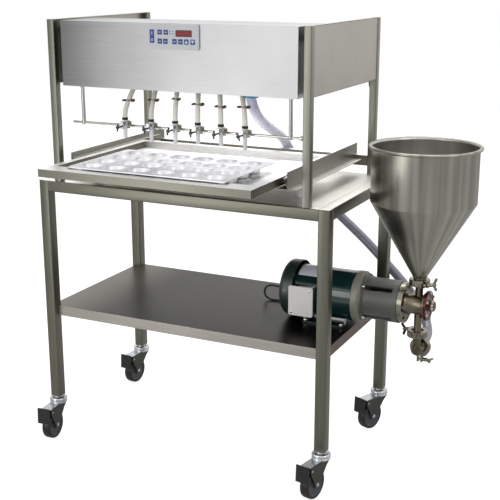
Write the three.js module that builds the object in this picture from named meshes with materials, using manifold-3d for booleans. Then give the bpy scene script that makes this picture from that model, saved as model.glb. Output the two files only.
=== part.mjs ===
// Bakery depositor on a wheeled stainless table: a head with six nozzles stands over a sliding pan
// carriage, and a hopper-fed pump on the lower shelf sends batter to it through one clear hose.
// Millimetres. X runs right along the front, Y runs to the back, Z up. The pieces are placed from
// the floor under the middle of the table's front edge, and the last group moves that to the base.

import * as THREE from "three";
import { mergeVertices } from "three/addons/utils/BufferGeometryUtils.js";
import Module from "manifold-3d";

const wasm = await Module();
wasm.setup();

// Values shared by the whole machine.
const seat_gap = 0.3;
const running_gap = 0.5;
const overrun = 5;
const sheet = 2;
const fine_sides = 24;
const round_sides = 16;
const small_sides = 8;

// Table, 42 by 24 inches, of 1.5 inch square tube.
const table_width = 1066.8;
const table_depth = 609.6;
const table_height = 941.5;
const frame_tube = 38.1;
const frame_wall = 1.6;
const deck_rib_height = 25;
const deck_rib_spread = 420;
const shelf_tab_reach = 26;
const shelf_tab_thickness = 4;

// Lower shelf.
const shelf_height = 488;
const shelf_flange = 36;
const shelf_side_inset = 12.4;
const shelf_front_inset = 20;
const shelf_back_inset = 9.6;

// Swivel casters with a brake pedal each.
const caster_height = 145;
const wheel_radius = 50;
const wheel_width = 32;
const wheel_crown = 3;
const hub_radius = 15;
const hub_width = 34;
const wheel_trail = 50;
const axle_radius = 5;
const axle_end_radius = 8.5;
const axle_end_length = 4;
const fork_plate = 3;
const fork_foot_radius = 14;
const crown_clearance = 18;
const crown_back = 26;
const crown_front = 88;
const shoulder_drop = 16;
const swivel_radius = 31;
const swivel_height = 19;
const collar_radius = 19;
const collar_height = 5;
const stem_radius = 11;
const stem_length = 27;
const socket_height = 32;
const caster_turns = { front_left: 6.3, front_right: -11.1, rear_left: -4.4, rear_right: -21.4 };

// Brake pedal, which tips on a pin between the fork plates.
const pedal_pin_reach = 78;
const pedal_pin_height = 107;
const pedal_pin_radius = 3;
const pedal_boss_radius = 7;
const pedal_width = 48;
const pedal_thickness = 4;
const pedal_arm_height = 9;
const pedal_top_height = 132;
const pedal_top_reach = 104;
const pedal_foot_height = 75;
const pedal_foot_reach = 107;

// Head posts and end panels.
const post_tube = 25.4;
const post_wall = 1.5;
const post_inset = 66;
const post_top_rise = 537.5;
const post_top = table_height + post_top_rise;
const end_panel_bottom_rise = 329.5;
const end_panel_bottom = table_height + end_panel_bottom_rise;
const panel_return = 20;
const bracket_tube = 25.4;
const bracket_drop = 37;
const bracket_height = post_top - bracket_drop;
const bracket_shares = [0.36, 0.82];

// Head housing, open below.
const housing_side_gap = 21;
const housing_front = 10;
const housing_depth = 200;
const housing_bottom_rise = 324.5;
const housing_bottom = table_height + housing_bottom_rise;
const housing_top_rise = 534.5;
const housing_top = table_height + housing_top_rise;
const cable_gland_radius = 8;
const cable_gland_length = 12;
const cable_gland_bore = 4.2;
const head_gland_inset = 16;
const head_gland_rise = 24;

// Control panel: a bezel in front and an electronics box behind the front sheet.
const bezel_left = -88;
const bezel_width = 182;
const bezel_bottom_rise = 455.5;
const bezel_bottom = table_height + bezel_bottom_rise;
const bezel_height = 76;
const bezel_thickness = 5.7;
const bezel_corner = 5;
const window_margin = 12;
const electronics_margin = 5;
const electronics_depth = 34;

// Manifold: the round pipe in the head that feeds the six tubes.
const manifold_radius = 25;
const manifold_wall = 2;
const manifold_y = 90;
const manifold_height_rise = 408.5;
const manifold_height = table_height + manifold_height_rise;
const manifold_left = -226;
const manifold_right = 246;
const barb_radius = 3.9;
const barb_bore = 2.6;
const barb_length = 8;
const barb_pitch = 74;
const barb_middle = 8;
const manifold_strap_width = 30;
const manifold_strap_thickness = 3;
const manifold_strap_shares = [0.16, 0.5];
const inlet_x = 195;
const inlet_y = 150;
const inlet_bottom_rise = 363.5;
const inlet_bottom = table_height + inlet_bottom_rise;
const inlet_radius = 12.4;
const inlet_bore = 10;

// Nozzle hanger: two drop rods and the bar that carries the nozzles.
const bar_radius = 4;
const bar_y = 60;
const bar_height_rise = 199.5;
const bar_height = table_height + bar_height_rise;
const bar_left = -420;
const bar_right = 417;
const bar_cap_radius = 8;
const bar_cap_length = 5;
const rod_radius = 6.25;
const rod_spread = 756;
const rod_foot = 7;
const rod_washer_radius = 16;
const rod_washer_height = 4;

// Nozzles: holder block on the bar, collar, barb and spout. The row is set unevenly by hand.
const nozzle_count = 6;
const nozzle_y = 42;
const nozzle_middle = 14;
const nozzle_pitch = 87.2;
const nozzle_shares = [-2.5, -1.365, -0.344, 0.596, 1.537, 2.5];
const spout_length = 42;
const spout_shares = [0.905, 1.071, 1.024, 0.952, 0.905, 1.095];
const spout_radius = 6.5;
const spout_bore = 3.5;
const nozzle_body_radius = 8.5;
const nozzle_collar_radius = 10;
const nozzle_collar_height = 8;
const nozzle_top_rise = 228.5;
const nozzle_top = table_height + nozzle_top_rise;
const nozzle_barb_length = 6;
const holder_width = 14;
const holder_offset = -6;
const holder_front = 14;
const holder_back = 28;
const holder_height = 24;
const holder_rise = 4;
const hook_reach = 18;
const hook_depth = 12;
const hook_height = 9;
const set_pin_radius = 2;
const set_pin_drop = 8;

// T-handled screws that lock the holders on the bar.
const screw_radius = 3;
const knob_hub_radius = 5.5;
const knob_hub_length = 9;
const knob_reach = 18;
const knob_bar_length = 27;
const knob_bar_thickness = 4.5;
const knob_turns = [6, -12, 14, 0, 2, -24];

// Soft dispense tubes with their butterfly screw clamps.
const tube_radius = 8;
const tube_bore = 5;
const tube_sides = 8;
const tube_steps = 9;
const tube_bend_share = 0.36;
const clamp_shares = [0.34, 0.38, 0.43, 0.35, 0.33, 0.35];
const clamp_turns = [18, 0, -24, 8, -6, 14];
const clamp_ring_radius = 9.6;
const clamp_ring_height = 5;
const clamp_wing_reach = 20;
const clamp_wing_depth = 8;
const clamp_wing_thickness = 2.4;

// Slide rails, their feet and the rear cross member, welded together.
const rail_spread = 790;
const rail_bottom_rise = 49.5;
const rail_bottom = table_height + rail_bottom_rise;
const rail_top_rise = 104.5;
const rail_top = table_height + rail_top_rise;
const rail_flange = 30;
const rail_lip = 32;
const rail_back_gap = 20;
const channel_bottom_rise = 62;
const channel_bottom = table_height + channel_bottom_rise;
const channel_height = 24.5;
const channel_lip = 12;
const channel_front = 4;
const channel_thickness = 2;
const foot_y = 130;
const foot_inset = 14;
const foot_radius = 14;
const foot_top_radius = 22;
const foot_height = 31.5;
const foot_stud_radius = 6;
const cross_depth = 25.4;
const cross_bottom_rise = 28.5;
const cross_bottom = table_height + cross_bottom_rise;
const cross_top_rise = 65.5;
const cross_top = table_height + cross_top_rise;
const cross_wall = 1.6;

// Pan carriage, drawn forward as in the photograph.
const carriage_width = 748;
const carriage_front = -210;
const carriage_depth = 635;
const carriage_bottom_rise = 61.5;
const carriage_bottom = table_height + carriage_bottom_rise;
const carriage_tube = 25.4;
const carriage_wall = 1.6;
const ledge_depth = 68;
const ledge_relief = 6;
const slide_bar_back = 6;
const slide_bar_thickness = 9;
const slide_neck_height = 12;

// Muffin pan of six by four cups.
const pan_width = 560;
const pan_depth = 355;
const pan_middle = -12;
const pan_front = -169;
const pan_sheet = 1;
const pan_corner = 14;
const pan_rim = 5;
const pan_rim_drop = 4;
const cup_depth = 29.7;
const cup_radius = 36;
const cup_foot_radius = 27;
const cup_pitch_x = 88;
const cup_pitch_y = 84;
const cups_x = 6;
const cups_y = 4;
const cup_sides = 10;

// Electric motor on the shelf, with its shaft along X.
const shaft_y = 300;
const shaft_above_shelf = 98;
const shaft_radius = 12;
const motor_back = 318;
const motor_radius = 84.5;
const motor_length = 207;
const face_radius = 86;
const face_length = 28;
const face_step = 5;
const fan_cover_radius = 97;
const fan_cover_length = 52;
const fan_cover_overlap = 4;
const fan_cover_chamfer = 16;
const fan_cover_wall = 2;
const fan_hub_radius = 20;
const fan_blade_radius = 78;
const fan_blade_thickness = 3;
const fan_blade_depth = 18;
const fan_blades = 6;
const foot_plate_left = 30;
const foot_plate_right = 182;
const foot_plate_depth = 136;
const foot_plate_thickness = 5;
const foot_web_thickness = 7;
const foot_web_depth = 96;
const box_left = 9;
const box_width = 86;
const box_depth = 35.4;
const box_bottom = 531;
const box_height = 101;
const box_front = 170;
const box_wall = 2;
const box_corner = 5;
const pad_margin = 14;
const cable_radius = 3.5;
const motor_gland_y = 398;
const motor_gland_drop = 45;
const motor_gland_left = 22;
const motor_gland_block = 30;
const motor_gland_height = 22;
const motor_gland_length = 18;

// Lantern, pump and cover, in line with the motor.
const lantern_length = 123;
const lantern_radius = 70;
const lantern_wall = 7;
const lantern_flange_radius = 80;
const lantern_flange_length = 6;
const lantern_slot_width = 18;
const lantern_slot_front = 12;
const lantern_slot_length = 92;
const coupling_radius = 26;
const coupling_length = 52;
const pump_disc_radius = 67;
const pump_disc_length = 17;
const pump_radius = 33;
const pump_length = 65;
const chamber_radius = 23;
const rotor_hub_radius = 10;
const rotor_radius = 22.4;
const rotor_vane = 8;
const rotor_vanes = 4;
const pump_flange_radius = 42;
const pump_flange_length = 7;
const cover_radius = 49.5;
const cover_length = 10;
const cover_stud_radius = 5;
const cover_stud_length = 14;
const cover_knob_radius = 19;
const cover_knob_length = 17;
const cover_knob_flats = 8;

// One inch sanitary pipe, its ferrules and its hinged clamps.
const pipe_radius = 12.7;
const pipe_bore = 11;
const ferrule_radius = 25.25;
const ferrule_length = 6.4;
const ferrule_neck_length = 3;
const port_from_disc = 39;
const inlet_joint_height = 663;
const outlet_joint_height = 487.5;
const clamp_radius = 34;
const clamp_lip = 4;
const clamp_lip_radius = 20;
const clamp_split = 5;
const lug_reach = 19;
const lug_thickness = 7;
const lug_width = 14;
const bolt_radius = 3;
const bolt_length = 48;
const hinge_reach = 6;
const hinge_width = 22;
const wing_hub_radius = 6.5;
const wing_hub_length = 26;
const wing_span = 44;
const wing_height = 12;
const wing_thickness = 4;
const hopper_clamp_bearing = -50;
const outlet_clamp_bearing = 120;
const hopper_wing_turn = 90;
const outlet_wing_turn = 45;
const hose_wing_turn = 90;
const quarter = 90;

// Elbow under the pump and the hose barb behind it.
const elbow_drop = 62.5;
const elbow_height = outlet_joint_height - elbow_drop;
const elbow_radius = 19;
const hose_joint_y = 344;
const hose_barb_length = 26;

// Cone hopper on the pump's inlet.
const hopper_wall = 1.2;
const hopper_throat_radius = 14;
const hopper_cone_radius = 20.4;
const hopper_cone_bottom = 676;
const hopper_radius = 168;
const hopper_cone_top = 929;
const hopper_top = 1108;
const hopper_bead = 4.9;

// Supply hose: its route is chosen by hand, straight down out of the manifold's inlet, over the
// rear cross member and down behind the table to the barb behind the pump.
const hose_radius = 16.5;
const hose_sides = 8;
const hose_steps = 56;
const hose_points = [
  [195, 150, 1304.6],
  [195, 150, 1296.6],
  [194.9, 151.3, 1278.7],
  [194.4, 155.4, 1261.2],
  [193.7, 162, 1244.5],
  [192.8, 171, 1228.9],
  [191.5, 182, 1214.7],
  [190.1, 194.5, 1201.8],
  [188.5, 208.1, 1190.2],
  [186.8, 222.7, 1179.8],
  [184.9, 237.9, 1170.3],
  [182.9, 253.6, 1161.7],
  [180.7, 269.6, 1153.9],
  [176, 302.4, 1139.9],
  [161.5, 385.8, 1110.5],
  [143.2, 469.5, 1084.4],
  [124.7, 553.1, 1058.2],
  [111.7, 632, 1018.7],
  [116.7, 694.2, 955.4],
  [149.6, 729.8, 881],
  [206.7, 738.5, 813.2],
  [275.8, 729.6, 757.1],
  [348.6, 712.5, 707.8],
  [420.6, 693.6, 658],
  [489.8, 674.7, 604.4],
  [558.8, 648.4, 553.9],
  [625.5, 607.1, 508],
  [682, 548.2, 467],
  [719.4, 471.7, 435.5],
  [732, 384, 425],
];

// Motor cable: its route is chosen by hand, in a loop beside the fan cover, along the shelf, up the
// rear leg and post and forward on the end panel's return to the gland behind the head.
const cable_sides = 6;
const cable_steps = 72;
const cable_points = [
  [321.7, 398, 541],
  [300, 398, 541.2],
  [235, 398.5, 543.6],
  [182, 399, 544.9],
  [161, 400, 544.9],
  [142, 400, 537],
  [134.1, 400, 518],
  [142, 400, 499],
  [161, 400, 492],
  [183, 401, 492],
  [320, 413, 492],
  [372, 436, 492],
  [420, 480, 492],
  [455, 535, 492],
  [466, 570, 492],
  [470, 588, 492],
  [474, 608, 500.5],
  [479, 617.5, 520],
  [486, 618.5, 545],
  [498, 618, 585],
  [508, 617, 640],
  [510, 616.5, 740],
  [508, 616.5, 840],
  [490, 617, 912],
  [466, 617, 972],
  [456, 617, 1050],
  [452, 617, 1160],
  [438, 617, 1225],
  [432, 617, 1250],
  [431, 616.4, 1268],
  [431, 607.5, 1285.5],
  [431, 590, 1292],
  [431, 570, 1289.5],
  [431, 530, 1280.5],
  [431, 480, 1277.2],
  [431, 380, 1277],
  [428, 318, 1279.5],
  [415, 268, 1286.3],
  [405.5, 238, 1290],
  [405, 222.3, 1290],
];

// Finishes, with the colours of the photograph.
function finish(color, roughness, metalness) {
  return new THREE.MeshStandardMaterial({ color, roughness, metalness, flatShading: true });
}
const brushed_steel = finish(0x8d8a80, 0.38, 1);
const bright_steel = finish(0xc2c0b8, 0.3, 1);
const cast_steel = finish(0x8f8778, 0.42, 1);
const pan_metal = finish(0xc2c0b8, 0.35, 1);
const chrome = finish(0x9b9890, 0.2, 1);
const zinc = finish(0xa9aaac, 0.35, 1);
const grey_paint = finish(0x6d706d, 0.5, 0.2);
const motor_enamel = finish(0x192d2d, 0.3, 0);
const fan_enamel = finish(0x26332f, 0.45, 0);
const ivory_enamel = finish(0xe1dfda, 0.4, 0);
const black_plastic = finish(0x17181a, 0.5, 0);
const black_rubber = finish(0x1c1c1e, 0.7, 0);
const panel_plastic = finish(0xd8dade, 0.45, 0);
const white_plastic = finish(0xe9e9ea, 0.4, 0);
const soft_tube = finish(0xe4e3dd, 0.35, 0);
const clear_hose = finish(0xb5b3c6, 0.3, 0);

// Solids. Each maker gives a manifold-3d solid, built from a three.js geometry.

function solid(geometry) {
  const positions = new THREE.BufferGeometry();
  positions.setAttribute("position", geometry.getAttribute("position"));
  positions.setIndex(geometry.index);
  const merged = mergeVertices(positions);
  const corners = merged.index.array;
  const kept = [];
  for (let i = 0; i < corners.length; i += 3) {
    const [a, b, c] = corners.subarray(i, i + 3);
    if (a !== b && b !== c && c !== a) kept.push(a, b, c);
  }
  return new wasm.Manifold(
    new wasm.Mesh({
      numProp: 3,
      vertProperties: merged.getAttribute("position").array,
      triVerts: new Uint32Array(kept),
    }),
  );
}

function join(...made) {
  return wasm.Manifold.union(made.flat());
}

function cut(made, ...cutters) {
  return made.subtract(join(...cutters));
}

function around(middle, size) {
  return [middle - size / 2, middle + size / 2];
}

// A box between two values along each axis.
function block(x, y, z) {
  const box = new THREE.BoxGeometry(x[1] - x[0], y[1] - y[0], z[1] - z[0]);
  box.translate((x[0] + x[1]) / 2, (y[0] + y[1]) / 2, (z[0] + z[1]) / 2);
  return solid(box);
}

// Turns a shape made along Z to lie along another axis: the plane's two directions become Y and Z
// for "x", X and Z for "y", and X and Y for "z".
function lay_along(geometry, axis) {
  if (axis === "x") {
    const turn = new THREE.Matrix4().makeBasis(
      new THREE.Vector3(0, 1, 0),
      new THREE.Vector3(0, 0, 1),
      new THREE.Vector3(1, 0, 0),
    );
    geometry.applyMatrix4(turn);
  }
  if (axis === "y") geometry.rotateX(Math.PI / 2);
  return geometry;
}

// A flat outline carried along an axis between two values.
function prism(shape, axis, span, curve_segments = small_sides) {
  const depth = span[1] - span[0];
  const options = { depth, bevelEnabled: false, curveSegments: curve_segments };
  const made = lay_along(new THREE.ExtrudeGeometry(shape, options), axis);
  if (axis === "x") made.translate(span[0], 0, 0);
  if (axis === "y") made.translate(0, span[1], 0);
  if (axis === "z") made.translate(0, 0, span[0]);
  return solid(made);
}

// The corner radius of a many-sided bore whose flats lie at a radius.
function corner_radius(radius, sides) {
  return radius / Math.cos(Math.PI / sides);
}

function polygon(points) {
  return new THREE.Shape(points.map(([u, v]) => new THREE.Vector2(u, v)));
}

function rounded(u, v, radius) {
  const shape = new THREE.Shape();
  shape.absarc(u[1] - radius, v[0] + radius, radius, -Math.PI / 2, 0);
  shape.absarc(u[1] - radius, v[1] - radius, radius, 0, Math.PI / 2);
  shape.absarc(u[0] + radius, v[1] - radius, radius, Math.PI / 2, Math.PI);
  shape.absarc(u[0] + radius, v[0] + radius, radius, Math.PI, Math.PI * 1.5);
  return shape;
}

// A round bar along an axis. The centre gives the two other coordinates, in order.
function rod(axis, centre, radius, span, sides = round_sides) {
  const length = span[1] - span[0];
  const bar = new THREE.CylinderGeometry(radius, radius, length, sides);
  const middle = (span[0] + span[1]) / 2;
  if (axis === "x") bar.rotateZ(-Math.PI / 2).translate(middle, centre[0], centre[1]);
  if (axis === "y") bar.translate(centre[0], middle, centre[1]);
  if (axis === "z") bar.rotateX(Math.PI / 2).translate(centre[0], centre[1], middle);
  return solid(bar);
}

// A profile of radius and height turned about Z.
function turned(profile, sides = round_sides) {
  const points = profile.map(([radius, height]) => new THREE.Vector2(radius, height));
  return solid(new THREE.LatheGeometry(points, sides).rotateX(Math.PI / 2));
}

// The same, about a line along X through the shaft.
function turned_on_shaft(profile, sides = round_sides) {
  const points = profile.map(([radius, x]) => new THREE.Vector2(radius, x));
  const made = new THREE.LatheGeometry(points, sides).rotateZ(-Math.PI / 2);
  return solid(made.translate(0, shaft_y, shaft_height));
}

function ball(centre, radius, sides = round_sides) {
  const made = new THREE.SphereGeometry(radius, sides, sides / 2);
  return solid(made.translate(...centre));
}

// A tube along a curve, with a bore if one is given.
function swept(curve, radius, steps, sides, bore = 0) {
  const shape = new THREE.Shape().absarc(0, 0, radius, 0, Math.PI * 2);
  if (bore > 0) shape.holes.push(new THREE.Path().absarc(0, 0, bore, 0, Math.PI * 2));
  const options = { steps, extrudePath: curve, bevelEnabled: false, curveSegments: sides / 2 };
  return solid(new THREE.ExtrudeGeometry(shape, options));
}

function routed(points) {
  const places = points.map((point) => new THREE.Vector3(...point));
  return new THREE.CatmullRomCurve3(places, false, "centripetal");
}

// The scene graph.
const machine = new THREE.Group();
const part = new THREE.Group();
part.add(machine);

function add(name, made, material, parent = machine) {
  const { numProp, numVert, vertProperties, triVerts } = made.getMesh();
  const positions = new Float32Array(numVert * 3);
  for (let i = 0; i < numVert; i++) {
    positions.set(vertProperties.subarray(i * numProp, i * numProp + 3), i * 3);
  }
  const geometry = new THREE.BufferGeometry();
  geometry.setAttribute("position", new THREE.BufferAttribute(positions, 3));
  geometry.setIndex(new THREE.BufferAttribute(triVerts, 1));
  const mesh = new THREE.Mesh(geometry, material);
  mesh.name = name;
  parent.add(mesh);
  return mesh;
}

// Places that follow from the values above.
const half_width = table_width / 2;
const leg_x = half_width - frame_tube / 2;
const leg_front = frame_tube / 2;
const leg_back = table_depth - frame_tube / 2;
const leg_inner = half_width - frame_tube;
const tube_hole = frame_tube - 2 * frame_wall;
const shelf_half = half_width - shelf_side_inset;
const shaft_height = shelf_height + shaft_above_shelf;

// Welded table frame with its deck sheet, caster sockets and shelf tabs.
function table_frame() {
  const tubes = [];
  const hollows = [];
  const sockets = [];
  const bores = [];
  const rail_z = [table_height - frame_tube, table_height];
  const hollow_z = [rail_z[0] + frame_wall, rail_z[1] - frame_wall];
  for (const x of [-leg_x, leg_x]) {
    tubes.push(block(around(x, frame_tube), [leg_front, leg_back], rail_z));
    hollows.push(block(around(x, tube_hole), [leg_front, leg_back], hollow_z));
    for (const y of [leg_front, leg_back]) {
      const [x_span, y_span] = [around(x, frame_tube), around(y, frame_tube)];
      const [x_hole, y_hole] = [around(x, tube_hole), around(y, tube_hole)];
      tubes.push(block(x_span, y_span, [caster_height, table_height]));
      hollows.push(block(x_hole, y_hole, [caster_height - overrun, hollow_z[1]]));
      const socket_top = caster_height + socket_height;
      sockets.push(block(around(x, tube_hole + frame_wall), around(y, tube_hole + frame_wall), [
        caster_height,
        socket_top,
      ]));
      const bore_z = [caster_height - overrun, socket_top + overrun];
      bores.push(rod("z", [x, y], stem_radius + running_gap, bore_z));
    }
  }
  for (const y of [leg_front, leg_back]) {
    tubes.push(block([-leg_x, leg_x], around(y, frame_tube), rail_z));
    hollows.push(block([-leg_x, leg_x], around(y, tube_hole), hollow_z));
  }
  const frame = cut(join(tubes), hollows);
  const edge = leg_inner + frame_wall / 2;
  const front = frame_tube - frame_wall / 2;
  const deck_y = [front, table_depth - front];
  const deck = [block([-edge, edge], deck_y, [table_height - sheet, table_height])];
  for (const x of around(0, deck_rib_spread)) {
    deck.push(block(around(x, sheet), deck_y, [table_height - deck_rib_height, table_height]));
  }
  return cut(join(frame, sockets, deck, shelf_tabs()), bores);
}

// Tabs on the legs that the shelf's corners rest on.
function shelf_tabs() {
  const top = shelf_height - sheet - seat_gap;
  const z = [top - shelf_tab_thickness, top];
  const front = shelf_front_inset + sheet + running_gap;
  const back = table_depth - shelf_back_inset - sheet - running_gap;
  const inner = leg_inner - shelf_tab_reach;
  const outer = leg_inner + frame_wall / 2;
  const tabs = [];
  for (const x of [[-outer, -inner], [inner, outer]]) {
    tabs.push(block(x, [front, frame_tube], z));
    tabs.push(block(x, [table_depth - frame_tube, back], z));
  }
  return tabs;
}

// Folded shelf, notched round the legs.
function lower_shelf() {
  const y = [shelf_front_inset, table_depth - shelf_back_inset];
  const bottom = shelf_height - shelf_flange;
  const tray = block([-shelf_half, shelf_half], y, [bottom, shelf_height]);
  const inside = block(
    [-shelf_half + sheet, shelf_half - sheet],
    [y[0] + sheet, y[1] - sheet],
    [bottom - overrun, shelf_height - sheet],
  );
  const notch = frame_tube + 2 * seat_gap;
  const notches = [];
  for (const x of [-leg_x, leg_x]) {
    for (const leg_y of [leg_front, leg_back]) {
      const z = [bottom - overrun, shelf_height + overrun];
      notches.push(block(around(x, notch), around(leg_y, notch), z));
    }
  }
  return cut(tray, inside, notches);
}

add("table_frame", table_frame(), brushed_steel);
add("lower_shelf", lower_shelf(), brushed_steel);

// Casters. Each is built at the origin with its wheel towards -Y, then turned about its stem.

const swivel_top = caster_height - seat_gap;
const swivel_bottom = caster_height - collar_height - swivel_height;
const crown_bottom = 2 * wheel_radius + crown_clearance;
const fork_inner = hub_width / 2 + seat_gap;
const fork_outer = fork_inner + fork_plate;

function caster_fork() {
  const head = [
    rod("z", [0, 0], stem_radius, [swivel_bottom, caster_height + stem_length]),
    rod("z", [0, 0], collar_radius, [swivel_bottom, swivel_top]),
    rod("z", [0, 0], swivel_radius, [crown_bottom, caster_height - collar_height]),
  ];
  const crown_z = [crown_bottom, crown_bottom + fork_plate];
  const crown = block([-fork_outer, fork_outer], [-crown_front, crown_back], crown_z);
  const leg = new THREE.Shape();
  leg.moveTo(crown_back, crown_z[1]);
  leg.lineTo(-crown_front, crown_z[1]);
  leg.lineTo(-crown_front, crown_bottom - shoulder_drop);
  leg.absarc(-wheel_trail, wheel_radius, fork_foot_radius, Math.PI * 0.9, Math.PI * 1.85, false);
  const legs = [
    prism(leg, "x", [-fork_outer, -fork_inner], small_sides / 2),
    prism(leg, "x", [fork_inner, fork_outer], small_sides / 2),
  ];
  const axle_reach = fork_outer + axle_end_length;
  const axle = [
    rod("x", [-wheel_trail, wheel_radius], axle_radius, [-fork_outer, fork_outer], small_sides),
    rod("x", [-wheel_trail, wheel_radius], axle_end_radius, [-axle_reach, -fork_inner], 6),
    rod("x", [-wheel_trail, wheel_radius], axle_end_radius, [fork_inner, axle_reach], 6),
  ];
  const pin_at = [-pedal_pin_reach, pedal_pin_height];
  const pin = rod("x", pin_at, pedal_pin_radius, [-fork_outer, fork_outer], small_sides);
  return join(head, crown, legs, axle, pin);
}

function caster_wheel() {
  const half = wheel_width / 2;
  const bore = axle_radius + running_gap;
  const tread = turned(
    [
      [bore, -half],
      [wheel_radius - wheel_crown, -half],
      [wheel_radius, -half / 2],
      [wheel_radius, half / 2],
      [wheel_radius - wheel_crown, half],
      [bore, half],
      [bore, -half],
    ],
    fine_sides,
  );
  const hub = cut(
    rod("z", [0, 0], hub_radius, around(0, hub_width), small_sides),
    rod("z", [0, 0], bore, around(0, hub_width + overrun), round_sides),
  );
  return join(tread, hub);
}

function brake_pedal() {
  const pin_at = [-pedal_pin_reach, pedal_pin_height];
  const arm_half = fork_inner - running_gap;
  const boss = rod("x", pin_at, pedal_boss_radius, [-arm_half, arm_half]);
  const arm = block(
    [-arm_half, arm_half],
    [-pedal_top_reach, -pedal_pin_reach],
    [pedal_pin_height, pedal_pin_height + pedal_boss_radius],
  );
  const pad = polygon([
    [-pedal_top_reach, pedal_top_height],
    [-pedal_top_reach - pedal_thickness, pedal_top_height],
    [-pedal_foot_reach - pedal_thickness, pedal_foot_height],
    [-pedal_foot_reach, pedal_foot_height],
    [-pedal_top_reach, pedal_pin_height],
  ]);
  const bore_radius = pedal_pin_radius + seat_gap;
  const bore = rod("x", pin_at, bore_radius, around(0, 3 * fork_outer));
  return cut(join(boss, arm, prism(pad, "x", around(0, pedal_width))), bore);
}

const caster_places = {
  front_left: [-leg_x, leg_front],
  front_right: [leg_x, leg_front],
  rear_left: [-leg_x, leg_back],
  rear_right: [leg_x, leg_back],
};
for (const [corner, [x, y]] of Object.entries(caster_places)) {
  const caster = new THREE.Group();
  caster.position.set(x, y, 0);
  caster.rotation.z = THREE.MathUtils.degToRad(caster_turns[corner]);
  machine.add(caster);
  add(`caster_fork_${corner}`, caster_fork(), zinc, caster);
  add(`brake_pedal_${corner}`, brake_pedal(), black_plastic, caster);
  const wheel = add(`caster_wheel_${corner}`, caster_wheel(), black_rubber, caster);
  wheel.position.set(0, -wheel_trail, wheel_radius);
  wheel.rotation.y = Math.PI / 2;
}

// Head: two posts and an end panel on each side, with brackets to the housing.

const post_outer = half_width - post_inset;
const post_inner = post_outer - post_tube;
const housing_half = post_inner - housing_side_gap;
const housing_back = housing_front + housing_depth;

function side_frame(side) {
  const outer = [];
  const hollows = [];
  const hole = post_tube - 2 * post_wall;
  const foot = table_height + seat_gap;
  const x = side * (post_outer - post_tube / 2);
  for (const y of [post_tube / 2, table_depth - post_tube / 2]) {
    outer.push(block(around(x, post_tube), around(y, post_tube), [foot, post_top]));
    hollows.push(block(around(x, hole), around(y, hole), [foot - overrun, post_top - post_wall]));
  }
  const posts = cut(join(outer), hollows);
  const panel_y = [post_tube - post_wall, table_depth - post_tube + post_wall];
  const panel = [
    block([post_outer - sheet, post_outer], panel_y, [end_panel_bottom, post_top]),
    block([post_outer - panel_return, post_outer], panel_y, [end_panel_bottom, end_panel_bottom + sheet]),
    block([post_outer - panel_return, post_outer], panel_y, [post_top - sheet, post_top]),
  ];
  const bracket_x = [housing_half + seat_gap, post_outer - sheet / 2];
  const brackets = bracket_shares.map((share) => {
    const middle = housing_front + share * housing_depth;
    return block(bracket_x, around(middle, bracket_tube), around(bracket_height, bracket_tube));
  });
  const fixed = join(panel, brackets);
  return join(posts, side > 0 ? fixed : fixed.mirror([1, 0, 0]));
}

// Folded housing, open below, with a window for the control panel and a gland at its back.
function head_housing() {
  const shell = block([-housing_half, housing_half], [housing_front, housing_back], [
    housing_bottom,
    housing_top,
  ]);
  const inside = block(
    [-housing_half + sheet, housing_half - sheet],
    [housing_front + sheet, housing_back - sheet],
    [housing_bottom - overrun, housing_top - sheet],
  );
  const window_x = [bezel_left + window_margin, bezel_left + bezel_width - window_margin];
  const window_z = [bezel_bottom + window_margin, bezel_bottom + bezel_height - window_margin];
  const window = block(window_x, around(housing_front, 2 * overrun), window_z);
  const gland_at = [housing_half - head_gland_inset, housing_bottom + head_gland_rise];
  const gland_y = [housing_back - sheet / 2, housing_back + cable_gland_length];
  const gland = rod("y", gland_at, cable_gland_radius, gland_y, small_sides);
  return join(cut(shell, inside, window), gland);
}

function control_panel() {
  const x = [bezel_left, bezel_left + bezel_width];
  const z = [bezel_bottom, bezel_bottom + bezel_height];
  const front = housing_front - seat_gap - bezel_thickness;
  const bezel = prism(rounded(x, z, bezel_corner), "y", [front, housing_front - seat_gap], 3);
  const inset = window_margin + seat_gap;
  const box_front_y = housing_front + sheet + seat_gap;
  const neck = block(
    [x[0] + inset, x[1] - inset],
    [housing_front - running_gap, box_front_y + seat_gap],
    [z[0] + inset, z[1] - inset],
  );
  const box = block(
    [x[0] + electronics_margin, x[1] - electronics_margin],
    [box_front_y, box_front_y + electronics_depth],
    [z[0] + electronics_margin, z[1] - electronics_margin],
  );
  return join(bezel, neck, box);
}

function barb_x(index) {
  return barb_middle + barb_pitch * (index - (nozzle_count - 1) / 2);
}

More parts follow.
